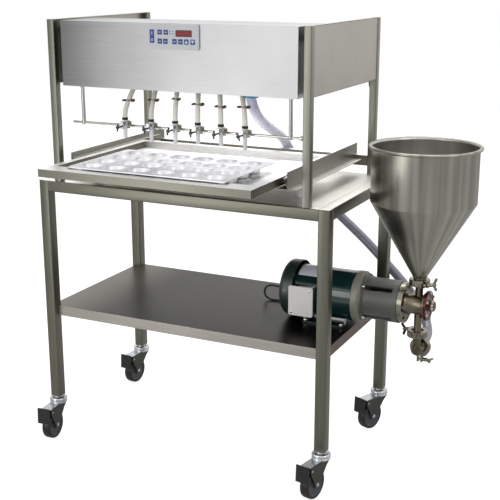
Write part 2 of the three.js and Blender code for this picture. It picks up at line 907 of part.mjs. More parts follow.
function manifold() {
  const at = [manifold_y, manifold_height];
  const pipes = [rod("x", at, manifold_radius, [manifold_left, manifold_right])];
  const bore = manifold_radius - manifold_wall;
  const hollow_x = [manifold_left + manifold_wall, manifold_right - manifold_wall];
  const hollows = [rod("x", at, bore, hollow_x)];
  const barb_bottom = manifold_height - manifold_radius - barb_length;
  for (let i = 0; i < nozzle_count; i++) {
    const barb_at = [barb_x(i), manifold_y];
    pipes.push(rod("z", barb_at, barb_radius, [barb_bottom, manifold_height - bore], small_sides));
    hollows.push(rod("z", barb_at, barb_bore, [barb_bottom - overrun, manifold_height], small_sides));
  }
  const inlet_span = [manifold_y + bore, inlet_y];
  pipes.push(rod("y", [inlet_x, manifold_height], inlet_radius, inlet_span));
  pipes.push(ball([inlet_x, inlet_y, manifold_height], inlet_radius));
  pipes.push(rod("z", [inlet_x, inlet_y], inlet_radius, [inlet_bottom, manifold_height]));
  hollows.push(rod("y", [inlet_x, manifold_height], inlet_bore, [manifold_y, inlet_y]));
  hollows.push(rod("z", [inlet_x, inlet_y], inlet_bore, [inlet_bottom - overrun, manifold_height]));
  const wall = housing_back - sheet - seat_gap;
  for (const share of manifold_strap_shares) {
    const x = manifold_left + share * (manifold_right - manifold_left);
    const strap_x = around(x, manifold_strap_thickness);
    const strap_z = around(manifold_height, manifold_strap_width);
    pipes.push(block(strap_x, [manifold_y + bore, wall], strap_z));
    const foot_x = [x, x + manifold_strap_width];
    pipes.push(block(foot_x, [wall - manifold_strap_thickness, wall], strap_z));
  }
  return cut(join(pipes), hollows);
}

// Drop rods from the housing's top sheet, and the bar that they carry.
function nozzle_hanger() {
  const top = housing_top - sheet - seat_gap;
  const pieces = [rod("x", [bar_y, bar_height], bar_radius, [bar_left, bar_right], small_sides)];
  for (const x of around(0, rod_spread)) {
    pieces.push(rod("z", [x, bar_y], rod_radius, [bar_height - rod_foot, top], small_sides));
    const washer_z = [top - rod_washer_height, top];
    pieces.push(rod("z", [x, bar_y], rod_washer_radius, washer_z, small_sides));
  }
  const cap_x = [bar_right - bar_cap_length, bar_right];
  pieces.push(rod("x", [bar_y, bar_height], bar_cap_radius, cap_x, small_sides));
  return join(pieces);
}

add("side_frame_left", side_frame(-1), brushed_steel);
add("side_frame_right", side_frame(1), brushed_steel);
add("head_housing", head_housing(), brushed_steel);
add("control_panel", control_panel(), panel_plastic);
add("manifold", manifold(), bright_steel);
add("nozzle_hanger", nozzle_hanger(), bright_steel);

// Nozzles, their screws and their tubes.

const nozzle_z = [nozzle_top - nozzle_collar_height, nozzle_top];
const holder_bottom = bar_height + holder_rise - holder_height / 2;
const holder_top = holder_bottom + holder_height;

function nozzle_x(index) {
  return nozzle_middle + nozzle_pitch * nozzle_shares[index];
}

function nozzle(index) {
  const x = nozzle_x(index);
  const tip = bar_height - spout_length * spout_shares[index];
  const at = [x, nozzle_y];
  const body = [
    rod("z", at, spout_radius, [tip, bar_height], small_sides),
    rod("z", at, nozzle_body_radius, [holder_bottom, nozzle_top], small_sides),
    rod("z", at, nozzle_collar_radius, nozzle_z, small_sides),
    rod("z", at, barb_radius, [nozzle_z[0], nozzle_top + nozzle_barb_length], small_sides),
  ];
  const holder_x = around(x + holder_offset, holder_width);
  const holder_y = [nozzle_y - holder_front, nozzle_y + holder_back];
  const holder = block(holder_x, holder_y, [holder_bottom, holder_top]);
  const hook_z = [holder_top - hook_height, holder_top];
  const hook = block([x, x + hook_reach], around(nozzle_y, 2 * hook_depth), hook_z);
  const pin_x = [x, x + hook_reach];
  const pin_at = [nozzle_y, holder_bottom + set_pin_drop / 2];
  const pin = rod("x", pin_at, set_pin_radius, pin_x, 8);
  const bar_hole = bar_radius + seat_gap;
  const screw_y = [holder_y[0] - overrun, bar_y];
  const holes = [
    rod("z", at, spout_bore, [tip - overrun, nozzle_top - nozzle_collar_height], 8),
    rod("z", at, barb_bore, [nozzle_z[0] - overrun, nozzle_top + nozzle_barb_length + overrun], 8),
    rod("x", [bar_y, bar_height], bar_hole, around(x, 3 * nozzle_collar_radius * 2), small_sides),
    rod("y", [x + holder_offset, bar_height], screw_radius + seat_gap, screw_y, small_sides),
  ];
  return cut(join(body, holder, hook, pin), holes);
}

// The T-handled screw, built about its own axis, with its handle upright.
function nozzle_knob() {
  const hub_front = nozzle_y - holder_front - knob_reach - knob_hub_length;
  const hub_y = [hub_front, hub_front + knob_hub_length];
  const screw_y = [hub_y[0] + knob_hub_length / 2, bar_y - bar_radius - seat_gap];
  const handle = block(
    around(0, knob_bar_thickness),
    around((hub_y[0] + hub_y[1]) / 2, knob_bar_thickness),
    around(0, knob_bar_length),
  );
  return join(
    rod("y", [0, 0], knob_hub_radius, hub_y, small_sides),
    rod("y", [0, 0], screw_radius, screw_y, small_sides),
    handle,
  );
}

// A soft tube from a nozzle's barb up to the manifold's, with its screw clamp.
function dispense_tube(index) {
  const bottom = nozzle_top + seat_gap;
  const top = manifold_height - manifold_radius - seat_gap;
  const bend = tube_bend_share * (top - bottom);
  const low = new THREE.Vector3(nozzle_x(index), nozzle_y, bottom);
  const high = new THREE.Vector3(barb_x(index), manifold_y, top);
  const rise = new THREE.Vector3(0, 0, bend);
  const curve = new THREE.CubicBezierCurve3(low, low.clone().add(rise), high.clone().sub(rise), high);
  const tube = swept(curve, tube_radius, tube_steps, tube_sides, tube_bore);
  const middle = curve.getPointAt(clamp_shares[index]);
  const half = clamp_ring_height / 2;
  const ring_bore = (tube_radius + tube_bore) / 2;
  const ring = turned(
    [
      [ring_bore, -half],
      [clamp_ring_radius, -half],
      [clamp_ring_radius, half],
      [ring_bore, half],
      [ring_bore, -half],
    ],
    small_sides,
  );
  const wings = [-1, 1].map((side) => {
    const x = [side * ring_bore, side * clamp_wing_reach].sort((a, b) => a - b);
    return block(x, around(0, clamp_wing_depth), around(0, clamp_wing_thickness));
  });
  const turn = new THREE.Euler(0, 0, THREE.MathUtils.degToRad(clamp_turns[index]));
  const place = new THREE.Matrix4().makeRotationFromEuler(turn).setPosition(middle);
  const clamp = cut(join(ring, wings), rod("z", [0, 0], ring_bore, around(0, 3 * half)));
  return join(tube, clamp.transform(place.elements));
}

for (let i = 0; i < nozzle_count; i++) {
  add(`nozzle_${i + 1}`, nozzle(i), white_plastic);
  add(`dispense_tube_${i + 1}`, dispense_tube(i), soft_tube);
  const knob = add(`nozzle_knob_${i + 1}`, nozzle_knob(), black_plastic);
  knob.position.set(nozzle_x(i) + holder_offset, 0, bar_height);
  knob.rotation.y = THREE.MathUtils.degToRad(knob_turns[i]);
}

// Slide rails with their channels, front feet and the rear cross member.

const rail_outer = rail_spread / 2;
const rail_inner = rail_outer - sheet;

function slide_frame() {
  const cross_half = post_inner - seat_gap;
  const cross_y = [table_depth - cross_depth, table_depth];
  const cross_z = [cross_bottom, cross_top];
  const cross = cut(
    block([-cross_half, cross_half], cross_y, cross_z),
    block(
      [-cross_half - overrun, cross_half + overrun],
      [cross_y[0] + cross_wall, cross_y[1] - cross_wall],
      [cross_z[0] + cross_wall, cross_z[1] - cross_wall],
    ),
  );
  const rail_y = [0, table_depth];
  const channel_y = [channel_front, table_depth - cross_depth - rail_back_gap];
  const channel_top = channel_bottom + channel_height;
  const pieces = [
    block([rail_inner, rail_outer], rail_y, [rail_bottom, rail_top]),
    block([rail_inner, rail_outer + rail_flange], [0, cross_y[0] + cross_wall], [
      rail_bottom,
      rail_bottom + sheet,
    ]),
    block([rail_inner - rail_lip, rail_outer], [0, cross_y[0] + cross_wall], [
      rail_bottom,
      rail_bottom + sheet,
    ]),
    block([rail_inner - channel_lip, rail_outer], channel_y, [
      channel_bottom,
      channel_bottom + channel_thickness,
    ]),
    block([rail_inner - channel_lip, rail_outer], channel_y, [
      channel_top - channel_thickness,
      channel_top,
    ]),
  ];
  const foot_bottom = table_height + seat_gap;
  const foot = turned([
    [0, foot_bottom],
    [foot_radius, foot_bottom],
    [foot_top_radius, foot_bottom + foot_height],
    [foot_stud_radius, foot_bottom + foot_height],
    [foot_stud_radius, rail_bottom + sheet / 2],
    [0, rail_bottom + sheet / 2],
  ]);
  pieces.push(foot.translate([rail_outer - foot_inset, foot_y, 0]));
  const side = join(pieces);
  return join(cross, side, side.mirror([1, 0, 0]));
}

// Sliding frame of open channels, with its floor, front ledge and slide bars.
function pan_carriage() {
  const half = carriage_width / 2;
  const y = [carriage_front, carriage_front + carriage_depth];
  const top = carriage_bottom + carriage_tube;
  const well = block(
    [-half + carriage_tube, half - carriage_tube],
    [y[0] + carriage_tube, y[1] - carriage_tube],
    [carriage_bottom - overrun, top + overrun],
  );
  const outside = block([-half, half], y, [carriage_bottom, top]);
  const inset = carriage_tube - carriage_wall;
  const groove_z = [carriage_bottom - overrun, top - carriage_wall];
  const groove_y = [y[0] + carriage_wall, y[1] - carriage_wall];
  const groove = cut(
    block([-half + carriage_wall, half - carriage_wall], groove_y, groove_z),
    block([-half + inset, half - inset], [y[0] + inset, y[1] - inset], [
      groove_z[0] - overrun,
      groove_z[1] + overrun,
    ]),
  );
  const floor_edge = carriage_tube - carriage_wall / 2;
  const floor = block(
    [-half + floor_edge, half - floor_edge],
    [y[0] + floor_edge, y[1] - floor_edge],
    [carriage_bottom, carriage_bottom + sheet],
  );
  const ledge = block(
    [-half + carriage_wall, half - carriage_wall],
    [y[0] + carriage_wall, y[0] + ledge_depth],
    [top - sheet, top],
  );
  const pan_half = pan_width / 2 + ledge_relief;
  const relief_y = [pan_front + ledge_relief, y[0] + ledge_depth + overrun];
  const relief = block(around(pan_middle, 2 * pan_half), relief_y, [top - sheet - overrun, top + overrun]);
  return join(cut(outside, well, groove), floor, cut(ledge, relief), slide_bars(y));
}

// The bars beside the carriage, which run in the rails' channels.
function slide_bars(carriage_y) {
  const half = carriage_width / 2;
  const low = channel_bottom + channel_thickness + running_gap;
  const high = channel_bottom + channel_height - channel_thickness - running_gap;
  const bar_x = [rail_inner - seat_gap - slide_bar_thickness, rail_inner - seat_gap];
  const bar_y_span = [channel_front + slide_bar_back, carriage_y[1]];
  const bar = block(bar_x, bar_y_span, [low, high]);
  const neck_x = [half - carriage_wall, bar_x[0] + slide_bar_thickness / 2];
  const neck = block(neck_x, bar_y_span, around((low + high) / 2, slide_neck_height));
  const side = join(bar, neck);
  return [side, side.mirror([1, 0, 0])];
}

const floor_top = carriage_bottom + sheet;
const pan_top = floor_top + seat_gap + pan_sheet + cup_depth;

function cup_solid(x, y, wall, lift) {
  const grown_top = cup_radius + wall;
  const grown_foot = cup_foot_radius + wall;
  const bottom = pan_top - cup_depth - wall;
  const cup = turned(
    [
      [0, bottom],
      [grown_foot, bottom],
      [grown_top, pan_top],
      [grown_top, pan_top + lift],
      [0, pan_top + lift],
    ],
    cup_sides,
  );
  return cup.translate([x, y, 0]);
}

function muffin_pan() {
  const x = around(pan_middle, pan_width);
  const y = [pan_front, pan_front + pan_depth];
  const plate = prism(rounded(x, y, pan_corner), "z", [pan_top - pan_sheet, pan_top], 3);
  const skirt_z = [pan_top - pan_rim_drop, pan_top];
  const skirt_x = [x[0] + pan_rim, x[1] - pan_rim];
  const skirt_y = [y[0] + pan_rim, y[1] - pan_rim];
  const hollow_z = [skirt_z[0] - overrun, skirt_z[1] + overrun];
  const skirt = cut(
    prism(rounded(x, y, pan_corner), "z", skirt_z, 3),
    prism(rounded(skirt_x, skirt_y, pan_corner - pan_rim), "z", hollow_z, 3),
  );
  const shells = [];
  const hollows = [];
  for (let i = 0; i < cups_x; i++) {
    for (let j = 0; j < cups_y; j++) {
      const cup_x = pan_middle + cup_pitch_x * (i - (cups_x - 1) / 2);
      const cup_y = pan_front + pan_depth / 2 + cup_pitch_y * (j - (cups_y - 1) / 2);
      shells.push(cup_solid(cup_x, cup_y, pan_sheet, 0));
      hollows.push(cup_solid(cup_x, cup_y, 0, overrun));
    }
  }
  return cut(join(plate, skirt, shells), hollows);
}

add("slide_frame", slide_frame(), brushed_steel);
add("pan_carriage", pan_carriage(), brushed_steel);
add("muffin_pan", muffin_pan(), pan_metal);

// Motor and what it carries.

const motor_front = motor_back + motor_length;
const face_front = motor_front + face_length;
const cover_back = motor_back - fan_cover_length + fan_cover_overlap;
const box_x = [motor_back + box_left, motor_back + box_left + box_width];
const box_z = [box_bottom, box_bottom + box_height];
const box_back = box_front + box_depth;

function motor() {
  const bore = shaft_radius + running_gap;
  const body = turned_on_shaft(
    [
      [bore, motor_back],
      [motor_radius, motor_back],
      [motor_radius, motor_front],
      [face_radius, motor_front],
      [face_radius, face_front - face_step],
      [face_radius - face_step, face_front - face_step],
      [face_radius - face_step, face_front],
      [bore, face_front],
      [bore, motor_back],
    ],
    fine_sides,
  );
  const foot_top = shelf_height + seat_gap + foot_plate_thickness;
  const foot_x = [motor_back + foot_plate_left, motor_back + foot_plate_right];
  const foot_z = [shelf_height + seat_gap, foot_top];
  const feet = [block(foot_x, around(shaft_y, foot_plate_depth), foot_z)];
  const web_z = [foot_top - foot_plate_thickness / 2, shaft_height - motor_radius / 2];
  for (const x of [foot_x[0], foot_x[1] - foot_web_thickness]) {
    feet.push(block([x, x + foot_web_thickness], around(shaft_y, foot_web_depth), web_z));
  }
  const lug_span = [motor_back, motor_back + fan_cover_overlap];
  const cover_flat = (fan_cover_radius - fan_cover_wall) * Math.cos(Math.PI / fine_sides);
  const lug_z = [motor_radius / 2, cover_flat - seat_gap];
  const lugs = [0, 1, 2, 3].map((i) => {
    const lug = block(lug_span, around(0, foot_web_thickness * 2), lug_z);
    const turn = new THREE.Matrix4().makeRotationX((i + 1 / 2) * (Math.PI / 2));
    return lug.transform(turn.elements).translate([0, shaft_y, shaft_height]);
  });
  const pad = block(
    [box_x[0] + pad_margin, box_x[1] - pad_margin],
    [box_back + seat_gap, shaft_y - motor_radius / 2],
    [box_z[0] + pad_margin, box_z[1] - pad_margin],
  );
  return join(body, cut(join(feet, lugs, pad, motor_gland()), shaft_clearance()));
}

// What keeps the parts round the motor's bore clear of the shaft.
function shaft_clearance() {
  const at = [shaft_y, shaft_height];
  return rod("x", at, motor_radius / 2, [motor_back - overrun, face_front + overrun]);
}

// The cable's gland block on the motor's far side, with the gland pointing back past the fan cover.
function motor_gland() {
  const z = shaft_height - motor_gland_drop;
  const x = [motor_back + motor_gland_left, motor_back + motor_gland_left + motor_gland_block];
  const y = [shaft_y + motor_radius / 2, motor_gland_y + cable_gland_radius];
  const stub = [x[0] - motor_gland_length, x[0]];
  return join(
    block(x, y, around(z, motor_gland_height)),
    rod("x", [motor_gland_y, z], cable_gland_radius, stub, small_sides),
  );
}

function fan_cover() {
  const rim = motor_back + fan_cover_overlap;
  const inner = fan_cover_radius - fan_cover_wall;
  const vent = fan_hub_radius;
  return turned_on_shaft(
    [
      [vent, cover_back],
      [fan_cover_radius - fan_cover_chamfer, cover_back],
      [fan_cover_radius, cover_back + fan_cover_chamfer],
      [fan_cover_radius, rim],
      [inner, rim],
      [inner, cover_back + fan_cover_chamfer],
      [inner - fan_cover_chamfer, cover_back + fan_cover_wall],
      [vent, cover_back + fan_cover_wall],
      [vent, cover_back],
    ],
    fine_sides,
  );
}

function conduit_box() {
  const shape = rounded(box_x, box_z, box_corner);
  const inner_x = [box_x[0] + box_wall, box_x[1] - box_wall];
  const inner_z = [box_z[0] + box_wall, box_z[1] - box_wall];
  const inner = rounded(inner_x, inner_z, box_corner - box_wall);
  return cut(
    prism(shape, "y", [box_front, box_back], 3),
    prism(inner, "y", [box_front + box_wall, box_back + overrun], 3),
  );
}

const lantern_back = face_front + seat_gap;
const lantern_front = lantern_back + lantern_length;

function lantern() {
  const inner = lantern_radius - lantern_wall;
  const hole = shaft_radius + running_gap;
  const shell = turned_on_shaft(
    [
      [inner, lantern_back],
      [lantern_flange_radius, lantern_back],
      [lantern_flange_radius, lantern_back + lantern_flange_length],
      [lantern_radius, lantern_back + lantern_flange_length],
      [lantern_radius, lantern_front],
      [hole, lantern_front],
      [hole, lantern_front - lantern_wall],
      [inner, lantern_front - lantern_wall],
      [inner, lantern_back],
    ],
    fine_sides,
  );
  const slot_back = lantern_back + lantern_slot_front;
  const slot_x = [slot_back, slot_back + lantern_slot_length];
  const slots = [1, 3].map((eighth) => {
    const slot = block(slot_x, around(0, lantern_slot_width), around(0, 3 * lantern_radius));
    const turn = new THREE.Matrix4().makeRotationX(eighth * (Math.PI / 4));
    return slot.transform(turn.elements).translate([0, shaft_y, shaft_height]);
  });
  return cut(shell, slots);
}

const disc_back = lantern_front + seat_gap;
const disc_front = disc_back + pump_disc_length;
const pump_front = disc_front + pump_length;
const port_x = disc_front + port_from_disc;

// Shaft with its fan, its coupling and the pump's rotor, which all turn together.
function drive_shaft() {
  const at = [shaft_y, shaft_height];
  const fan_x = [motor_back - fan_blade_depth - sheet * 3, motor_back - sheet * 3];
  const rotor_x = [disc_front + running_gap, pump_front - running_gap];
  const pieces = [
    rod("x", at, shaft_radius, [fan_x[0], rotor_x[0] + running_gap]),
    rod("x", at, fan_hub_radius, fan_x),
    rod("x", at, rotor_hub_radius, rotor_x, small_sides),
  ];
  const coupling_middle = (lantern_back + lantern_front) / 2;
  pieces.push(rod("x", at, coupling_radius, around(coupling_middle, coupling_length)));
  for (let i = 0; i < fan_blades; i++) {
    const blade = block(fan_x, around(0, fan_blade_thickness), [0, fan_blade_radius]);
    pieces.push(spun(blade, i / fan_blades));
  }
  for (let i = 0; i < rotor_vanes; i++) {
    const vane = block(rotor_x, around(0, rotor_vane), [0, rotor_radius - running_gap]);
    pieces.push(spun(vane, i / rotor_vanes));
  }
  return join(pieces);
}

function spun(made, turns) {
  const turn = new THREE.Matrix4().makeRotationX(turns * 2 * Math.PI);
  return made.transform(turn.elements).translate([0, shaft_y, shaft_height]);
}

// Pump body on its back plate, with an inlet pipe up and an outlet pipe down.
function pump_body() {
  const at = [shaft_y, shaft_height];
  const inlet_end = inlet_joint_height - seat_gap / 2;
  const outlet_end = outlet_joint_height + seat_gap / 2;
  const pieces = [
    rod("x", at, pump_disc_radius, [disc_back, disc_front], fine_sides),
    rod("x", at, pump_radius, [disc_back, pump_front]),
    rod("x", at, pump_flange_radius, [pump_front - pump_flange_length, pump_front]),
    rod("z", [port_x, shaft_y], pipe_radius, [outlet_end, inlet_end]),
    ferrule([port_x, shaft_y, inlet_end], -1),
    ferrule([port_x, shaft_y, outlet_end], 1),
  ];
  const hollows = [
    rod("x", at, shaft_radius + running_gap, [disc_back - overrun, disc_front]),
    rod("x", at, chamber_radius, [disc_front, pump_front + overrun]),
    rod("z", [port_x, shaft_y], pipe_bore, [outlet_end - overrun, inlet_end + overrun]),
  ];
  return cut(join(pieces), hollows);
}

// A clamp ferrule whose face is at a point, with its pipe to the side that back gives.
function ferrule([x, y, face], back) {
  const heights = [0, ferrule_length, ferrule_length + ferrule_neck_length];
  const [z0, z1, z2] = heights.map((height) => face + back * height);
  const rim = [Math.min(z0, z1), Math.max(z0, z1)];
  const neck = [Math.min(z0, z2), Math.max(z0, z2)];
  return join(
    rod("z", [x, y], ferrule_radius, rim),
    rod("z", [x, y], (pipe_radius + clamp_lip_radius) / 2, neck),
  );
}

function pump_cover() {
  const at = [shaft_y, shaft_height];
  const back = pump_front + seat_gap;
  const stud_end = back + cover_length + cover_stud_length;
  return join(
    rod("x", at, cover_radius, [back, back + cover_length], fine_sides),
    rod("x", at, cover_stud_radius, [back, stud_end], small_sides),
  );
}

function cover_knob() {
  const at = [shaft_y, shaft_height];
  const back = pump_front + 2 * seat_gap + cover_length;
  const knob = rod("x", at, cover_knob_radius, [back, back + cover_knob_length]);
  const bore_radius = cover_stud_radius + running_gap;
  const bore_end = pump_front + seat_gap + cover_length + cover_stud_length + seat_gap;
  const notches = [];
  for (let i = 0; i < cover_knob_flats; i++) {
    const angle = (i / cover_knob_flats) * 2 * Math.PI;
    const reach = cover_knob_radius + cover_knob_length / 8;
    const notch_at = [shaft_y + reach * Math.cos(angle), shaft_height + reach * Math.sin(angle)];
    const notch_x = [back - overrun, back + cover_knob_length + overrun];
    notches.push(rod("x", notch_at, cover_knob_length / 4, notch_x, 8));
  }
  return cut(knob, rod("x", at, bore_radius, [back - overrun, bore_end], small_sides), notches);
}

add("motor", motor(), motor_enamel);
add("fan_cover", fan_cover(), fan_enamel);
add("conduit_box", conduit_box(), ivory_enamel);
add("lantern", lantern(), grey_paint);
add("drive_shaft", drive_shaft(), bright_steel);
add("pump_body", pump_body(), cast_steel);
add("pump_cover", pump_cover(), chrome);
add("cover_knob", cover_knob(), chrome);

// Hopper, its bead at the rim and its ferrule at the throat.
function hopper() {
  const face = inlet_joint_height + seat_gap / 2;
  const neck_top = face + ferrule_length + ferrule_neck_length;
  const bead_middle = hopper_radius + hopper_bead;
  const inner = hopper_radius - hopper_wall;
  const shell = turned(
    [
      [pipe_bore, face],
      [ferrule_radius, face],
      [ferrule_radius, face + ferrule_length],
      [hopper_throat_radius, face + ferrule_length],
      [hopper_throat_radius, neck_top],
      [hopper_cone_radius, hopper_cone_bottom],
      [hopper_radius, hopper_cone_top],
      [hopper_radius, hopper_top - 2 * hopper_bead],
      [bead_middle, hopper_top - 2 * hopper_bead],
      [bead_middle + hopper_bead, hopper_top - hopper_bead],
      [bead_middle, hopper_top],
      [inner, hopper_top],
      [inner, hopper_cone_top],
      [pipe_bore, hopper_cone_bottom + hopper_wall],
      [pipe_bore, face],
    ],
    fine_sides + small_sides,
  );
  return shell.translate([port_x, shaft_y, 0]);
}

// A hinged pipe clamp about Z, split on its +X side, where its bolt runs along Y.
function pipe_clamp() {
  const stack = ferrule_length + seat_gap / 2;
  const groove = stack + seat_gap;
  const half = groove + clamp_lip;
  const groove_radius = corner_radius(ferrule_radius + seat_gap, round_sides);
  const ring = turned(
    [
      [clamp_lip_radius, -half],
      [clamp_radius, -half],
      [clamp_radius, half],
      [clamp_lip_radius, half],
      [clamp_lip_radius, groove],
      [groove_radius, groove],
      [groove_radius, -groove],
      [clamp_lip_radius, -groove],
      [clamp_lip_radius, -half],
    ],
    round_sides,
  );
  const lug_x = [groove_radius + clamp_lip, clamp_radius + lug_reach];
  const lug_z = around(0, lug_width);
  const lug_y = [clamp_split / 2, clamp_split / 2 + lug_thickness];
  const near_lug = block(lug_x, [-lug_y[1], -lug_y[0]], lug_z);
  const far_lug = block(lug_x, lug_y, lug_z);
  const bolt_at = [clamp_radius + lug_reach / 2, 0];
  const bolt_hole = rod("y", bolt_at, bolt_radius + seat_gap, [-lug_y[1] - overrun, 0], small_sides);
  const bolt = rod("y", bolt_at, bolt_radius, [lug_y[1] - bolt_length, lug_y[1]], small_sides);
  const hinge_x = [-clamp_radius - hinge_reach, -groove_radius - clamp_lip];
  const hinge = block(hinge_x, around(0, hinge_width), lug_z);
  const split = block([0, clamp_radius + overrun], around(0, clamp_split), around(0, 3 * half));
  return join(cut(join(cut(ring, split), near_lug, hinge), bolt_hole), far_lug, bolt);
}

// The wing nut of such a clamp, on its bolt against the near lug. It is turned about the bolt, and
// its wings stand at its outer end, clear of the ring.
function wing_nut(turned_by) {
  const at = [clamp_radius + lug_reach / 2, 0];
  const seat = -clamp_split / 2 - lug_thickness - seat_gap;
  const y = [seat - wing_hub_length, seat];
  const wing_y = [y[0] - wing_height / 2, y[0] + wing_height / 2];
  const wing_x = around(at[0], wing_span);
  const flat = block(wing_x, wing_y, around(0, wing_thickness));
  const turn = new THREE.Matrix4().makeRotationY(THREE.MathUtils.degToRad(turned_by));
  const wing = flat.translate([-at[0], 0, 0]).transform(turn.elements).translate([at[0], 0, 0]);
  const hub = rod("y", at, wing_hub_radius, y, small_sides);
  const bore = rod("y", at, bolt_radius + seat_gap, [wing_y[0] - overrun, seat + overrun], small_sides);
  return cut(join(hub, wing), bore);
}

function add_clamp(clamp_name, nut_name, wing_turn, place, x_to, y_to, z_to) {
  const holder = new THREE.Group();
  const turn = new THREE.Matrix4().makeBasis(x_to, y_to, z_to);
  holder.position.copy(place);
  holder.quaternion.setFromRotationMatrix(turn);
  machine.add(holder);
  add(clamp_name, pipe_clamp(), chrome, holder);
  add(nut_name, wing_nut(wing_turn), chrome, holder);
}

const elbow_at = [port_x, shaft_y, elbow_height];

// Elbow from the pump's outlet to the hose joint behind it.
function outlet_elbow() {
  const top = outlet_joint_height - seat_gap / 2;
  const end = hose_joint_y - seat_gap / 2;
  const at = [port_x, elbow_height];
  const pieces = [
    ferrule([port_x, shaft_y, top], -1),
    rod("z", [port_x, shaft_y], pipe_radius, [elbow_height, top]),
    ball(elbow_at, elbow_radius),
    rod("y", at, pipe_radius, [shaft_y, end]),
    rod("y", at, ferrule_radius, [end - ferrule_length, end]),
  ];
  const hollows = [
    rod("z", [port_x, shaft_y], pipe_bore, [elbow_height, top + overrun]),
    rod("y", at, pipe_bore, [shaft_y - pipe_bore, end + overrun]),
  ];
  return cut(join(pieces), hollows);
}

function hose_barb() {
  const start = hose_joint_y + seat_gap / 2;
  const at = [port_x, elbow_height];
  const end = start + ferrule_length + hose_barb_length;
  const collar = [start, start + ferrule_length + hose_barb_length / 2];
  return cut(
    join(
      rod("y", at, ferrule_radius, [start, start + ferrule_length]),
      rod("y", at, hose_radius, collar),
      rod("y", at, pipe_radius, [start, end]),
    ),
    rod("y", at, pipe_bore - barb_bore / 2, [start - overrun, end + overrun]),
  );
}

const along_x = new THREE.Vector3(1, 0, 0);
const along_y = new THREE.Vector3(0, 1, 0);
const along_z = new THREE.Vector3(0, 0, 1);
const inlet_joint = new THREE.Vector3(port_x, shaft_y, inlet_joint_height);
const outlet_joint = new THREE.Vector3(port_x, shaft_y, outlet_joint_height);
const hose_joint = new THREE.Vector3(port_x, hose_joint_y, elbow_height);
const back_x = along_x.clone().negate();
const down_z = along_z.clone().negate();

// A level direction at a bearing in degrees from X towards Y.
function level(bearing) {
  const angle = THREE.MathUtils.degToRad(bearing);
  return new THREE.Vector3(Math.cos(angle), Math.sin(angle), 0);
}

const hopper_bolt = level(hopper_clamp_bearing - quarter);
const outlet_bolt = level(outlet_clamp_bearing - quarter);
const hopper_lugs = level(hopper_clamp_bearing);
const outlet_lugs = level(outlet_clamp_bearing);

add("hopper", hopper(), brushed_steel);
add_clamp(
  "hopper_clamp", "hopper_wing_nut", hopper_wing_turn, inlet_joint,
  hopper_lugs, hopper_bolt, down_z,
);
add("outlet_elbow", outlet_elbow(), chrome);
add_clamp(
  "outlet_clamp", "outlet_wing_nut", outlet_wing_turn, outlet_joint,
  outlet_lugs, outlet_bolt, down_z,
);
add("hose_barb", hose_barb(), chrome);
add_clamp(
  "hose_clamp", "hose_wing_nut", hose_wing_turn, hose_joint, down_z, back_x, along_y,
);

// Cords.
const hose = swept(routed(hose_points), hose_radius, hose_steps, hose_sides);
const cable = swept(routed(cable_points), cable_radius, cable_steps, cable_sides);
const cords = [
  add("supply_hose", hose, clear_hose),
  add("motor_cable", cable, black_rubber),
];

// The part's origin is the middle of its base, measured without the cords.
machine.updateMatrixWorld(true);
const bounds = new THREE.Box3();
machine.traverse((piece) => {
  if (piece.isMesh && !cords.includes(piece)) bounds.expandByObject(piece, true);
});
const middle = bounds.getCenter(new THREE.Vector3());
machine.position.set(-middle.x, -middle.y, -bounds.min.z);

export default part;
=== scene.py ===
"""The looks of a wheeled bakery depositor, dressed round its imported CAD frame. Metres, +Z up."""

import contextlib
import math

import bmesh
import bpy
import numpy as np
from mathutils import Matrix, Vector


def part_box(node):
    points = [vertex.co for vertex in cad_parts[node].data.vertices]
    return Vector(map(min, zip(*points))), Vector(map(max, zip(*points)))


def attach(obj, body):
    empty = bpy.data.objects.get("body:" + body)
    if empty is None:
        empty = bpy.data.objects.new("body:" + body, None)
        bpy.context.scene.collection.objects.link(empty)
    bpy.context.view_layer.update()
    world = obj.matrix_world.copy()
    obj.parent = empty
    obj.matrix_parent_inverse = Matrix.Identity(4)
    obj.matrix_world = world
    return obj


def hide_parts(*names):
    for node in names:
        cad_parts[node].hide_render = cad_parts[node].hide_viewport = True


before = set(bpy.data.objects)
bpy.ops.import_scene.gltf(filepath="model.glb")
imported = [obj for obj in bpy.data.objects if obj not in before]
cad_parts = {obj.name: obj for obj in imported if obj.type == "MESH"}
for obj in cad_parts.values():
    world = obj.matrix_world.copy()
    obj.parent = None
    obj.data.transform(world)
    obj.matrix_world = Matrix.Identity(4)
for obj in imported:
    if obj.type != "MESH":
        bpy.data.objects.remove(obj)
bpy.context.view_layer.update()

# Viewpoint. The picture was taken from the right of the table's front, a little above the head.
# Places are given as on the shop drawing: millimetres from the floor under the middle of the
# table's front edge, and front_middle is where that point lies in the part's own frame.

table_low, table_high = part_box("table_frame")
front_middle = np.array([(table_low.x + table_high.x) / 2, table_low.y, 0.0])


def place(points):
    """Drawing millimetres turned to metres in the part's frame: a thousandth, then the shift."""
    return np.asarray(points, float) / 1000 + front_middle


camera_spot = (1612.7, -2774.2, 1641.8)
camera_yaw = 25.84
camera_pitch = 15.48
focal_pixels = 1021.2
picture_pixels = 500
film_width = 36.0

camera = bpy.data.cameras.new("camera")
camera.sensor_width = film_width
camera.lens = film_width * focal_pixels / picture_pixels
camera.clip_end = 50
viewer = bpy.data.objects.new("camera", camera)
viewer.location = place(camera_spot)
viewer.rotation_euler = (math.radians(90 - camera_pitch), 0, math.radians(camera_yaw))
bpy.context.scene.collection.objects.link(viewer)
bpy.context.scene.camera = viewer


# Supply hose. Clear braided PVC of 33 mm, pushed over the manifold's inlet and the pump's barb,
# with a blue moulded cuff at its top. It hangs down behind the table between its two ends.


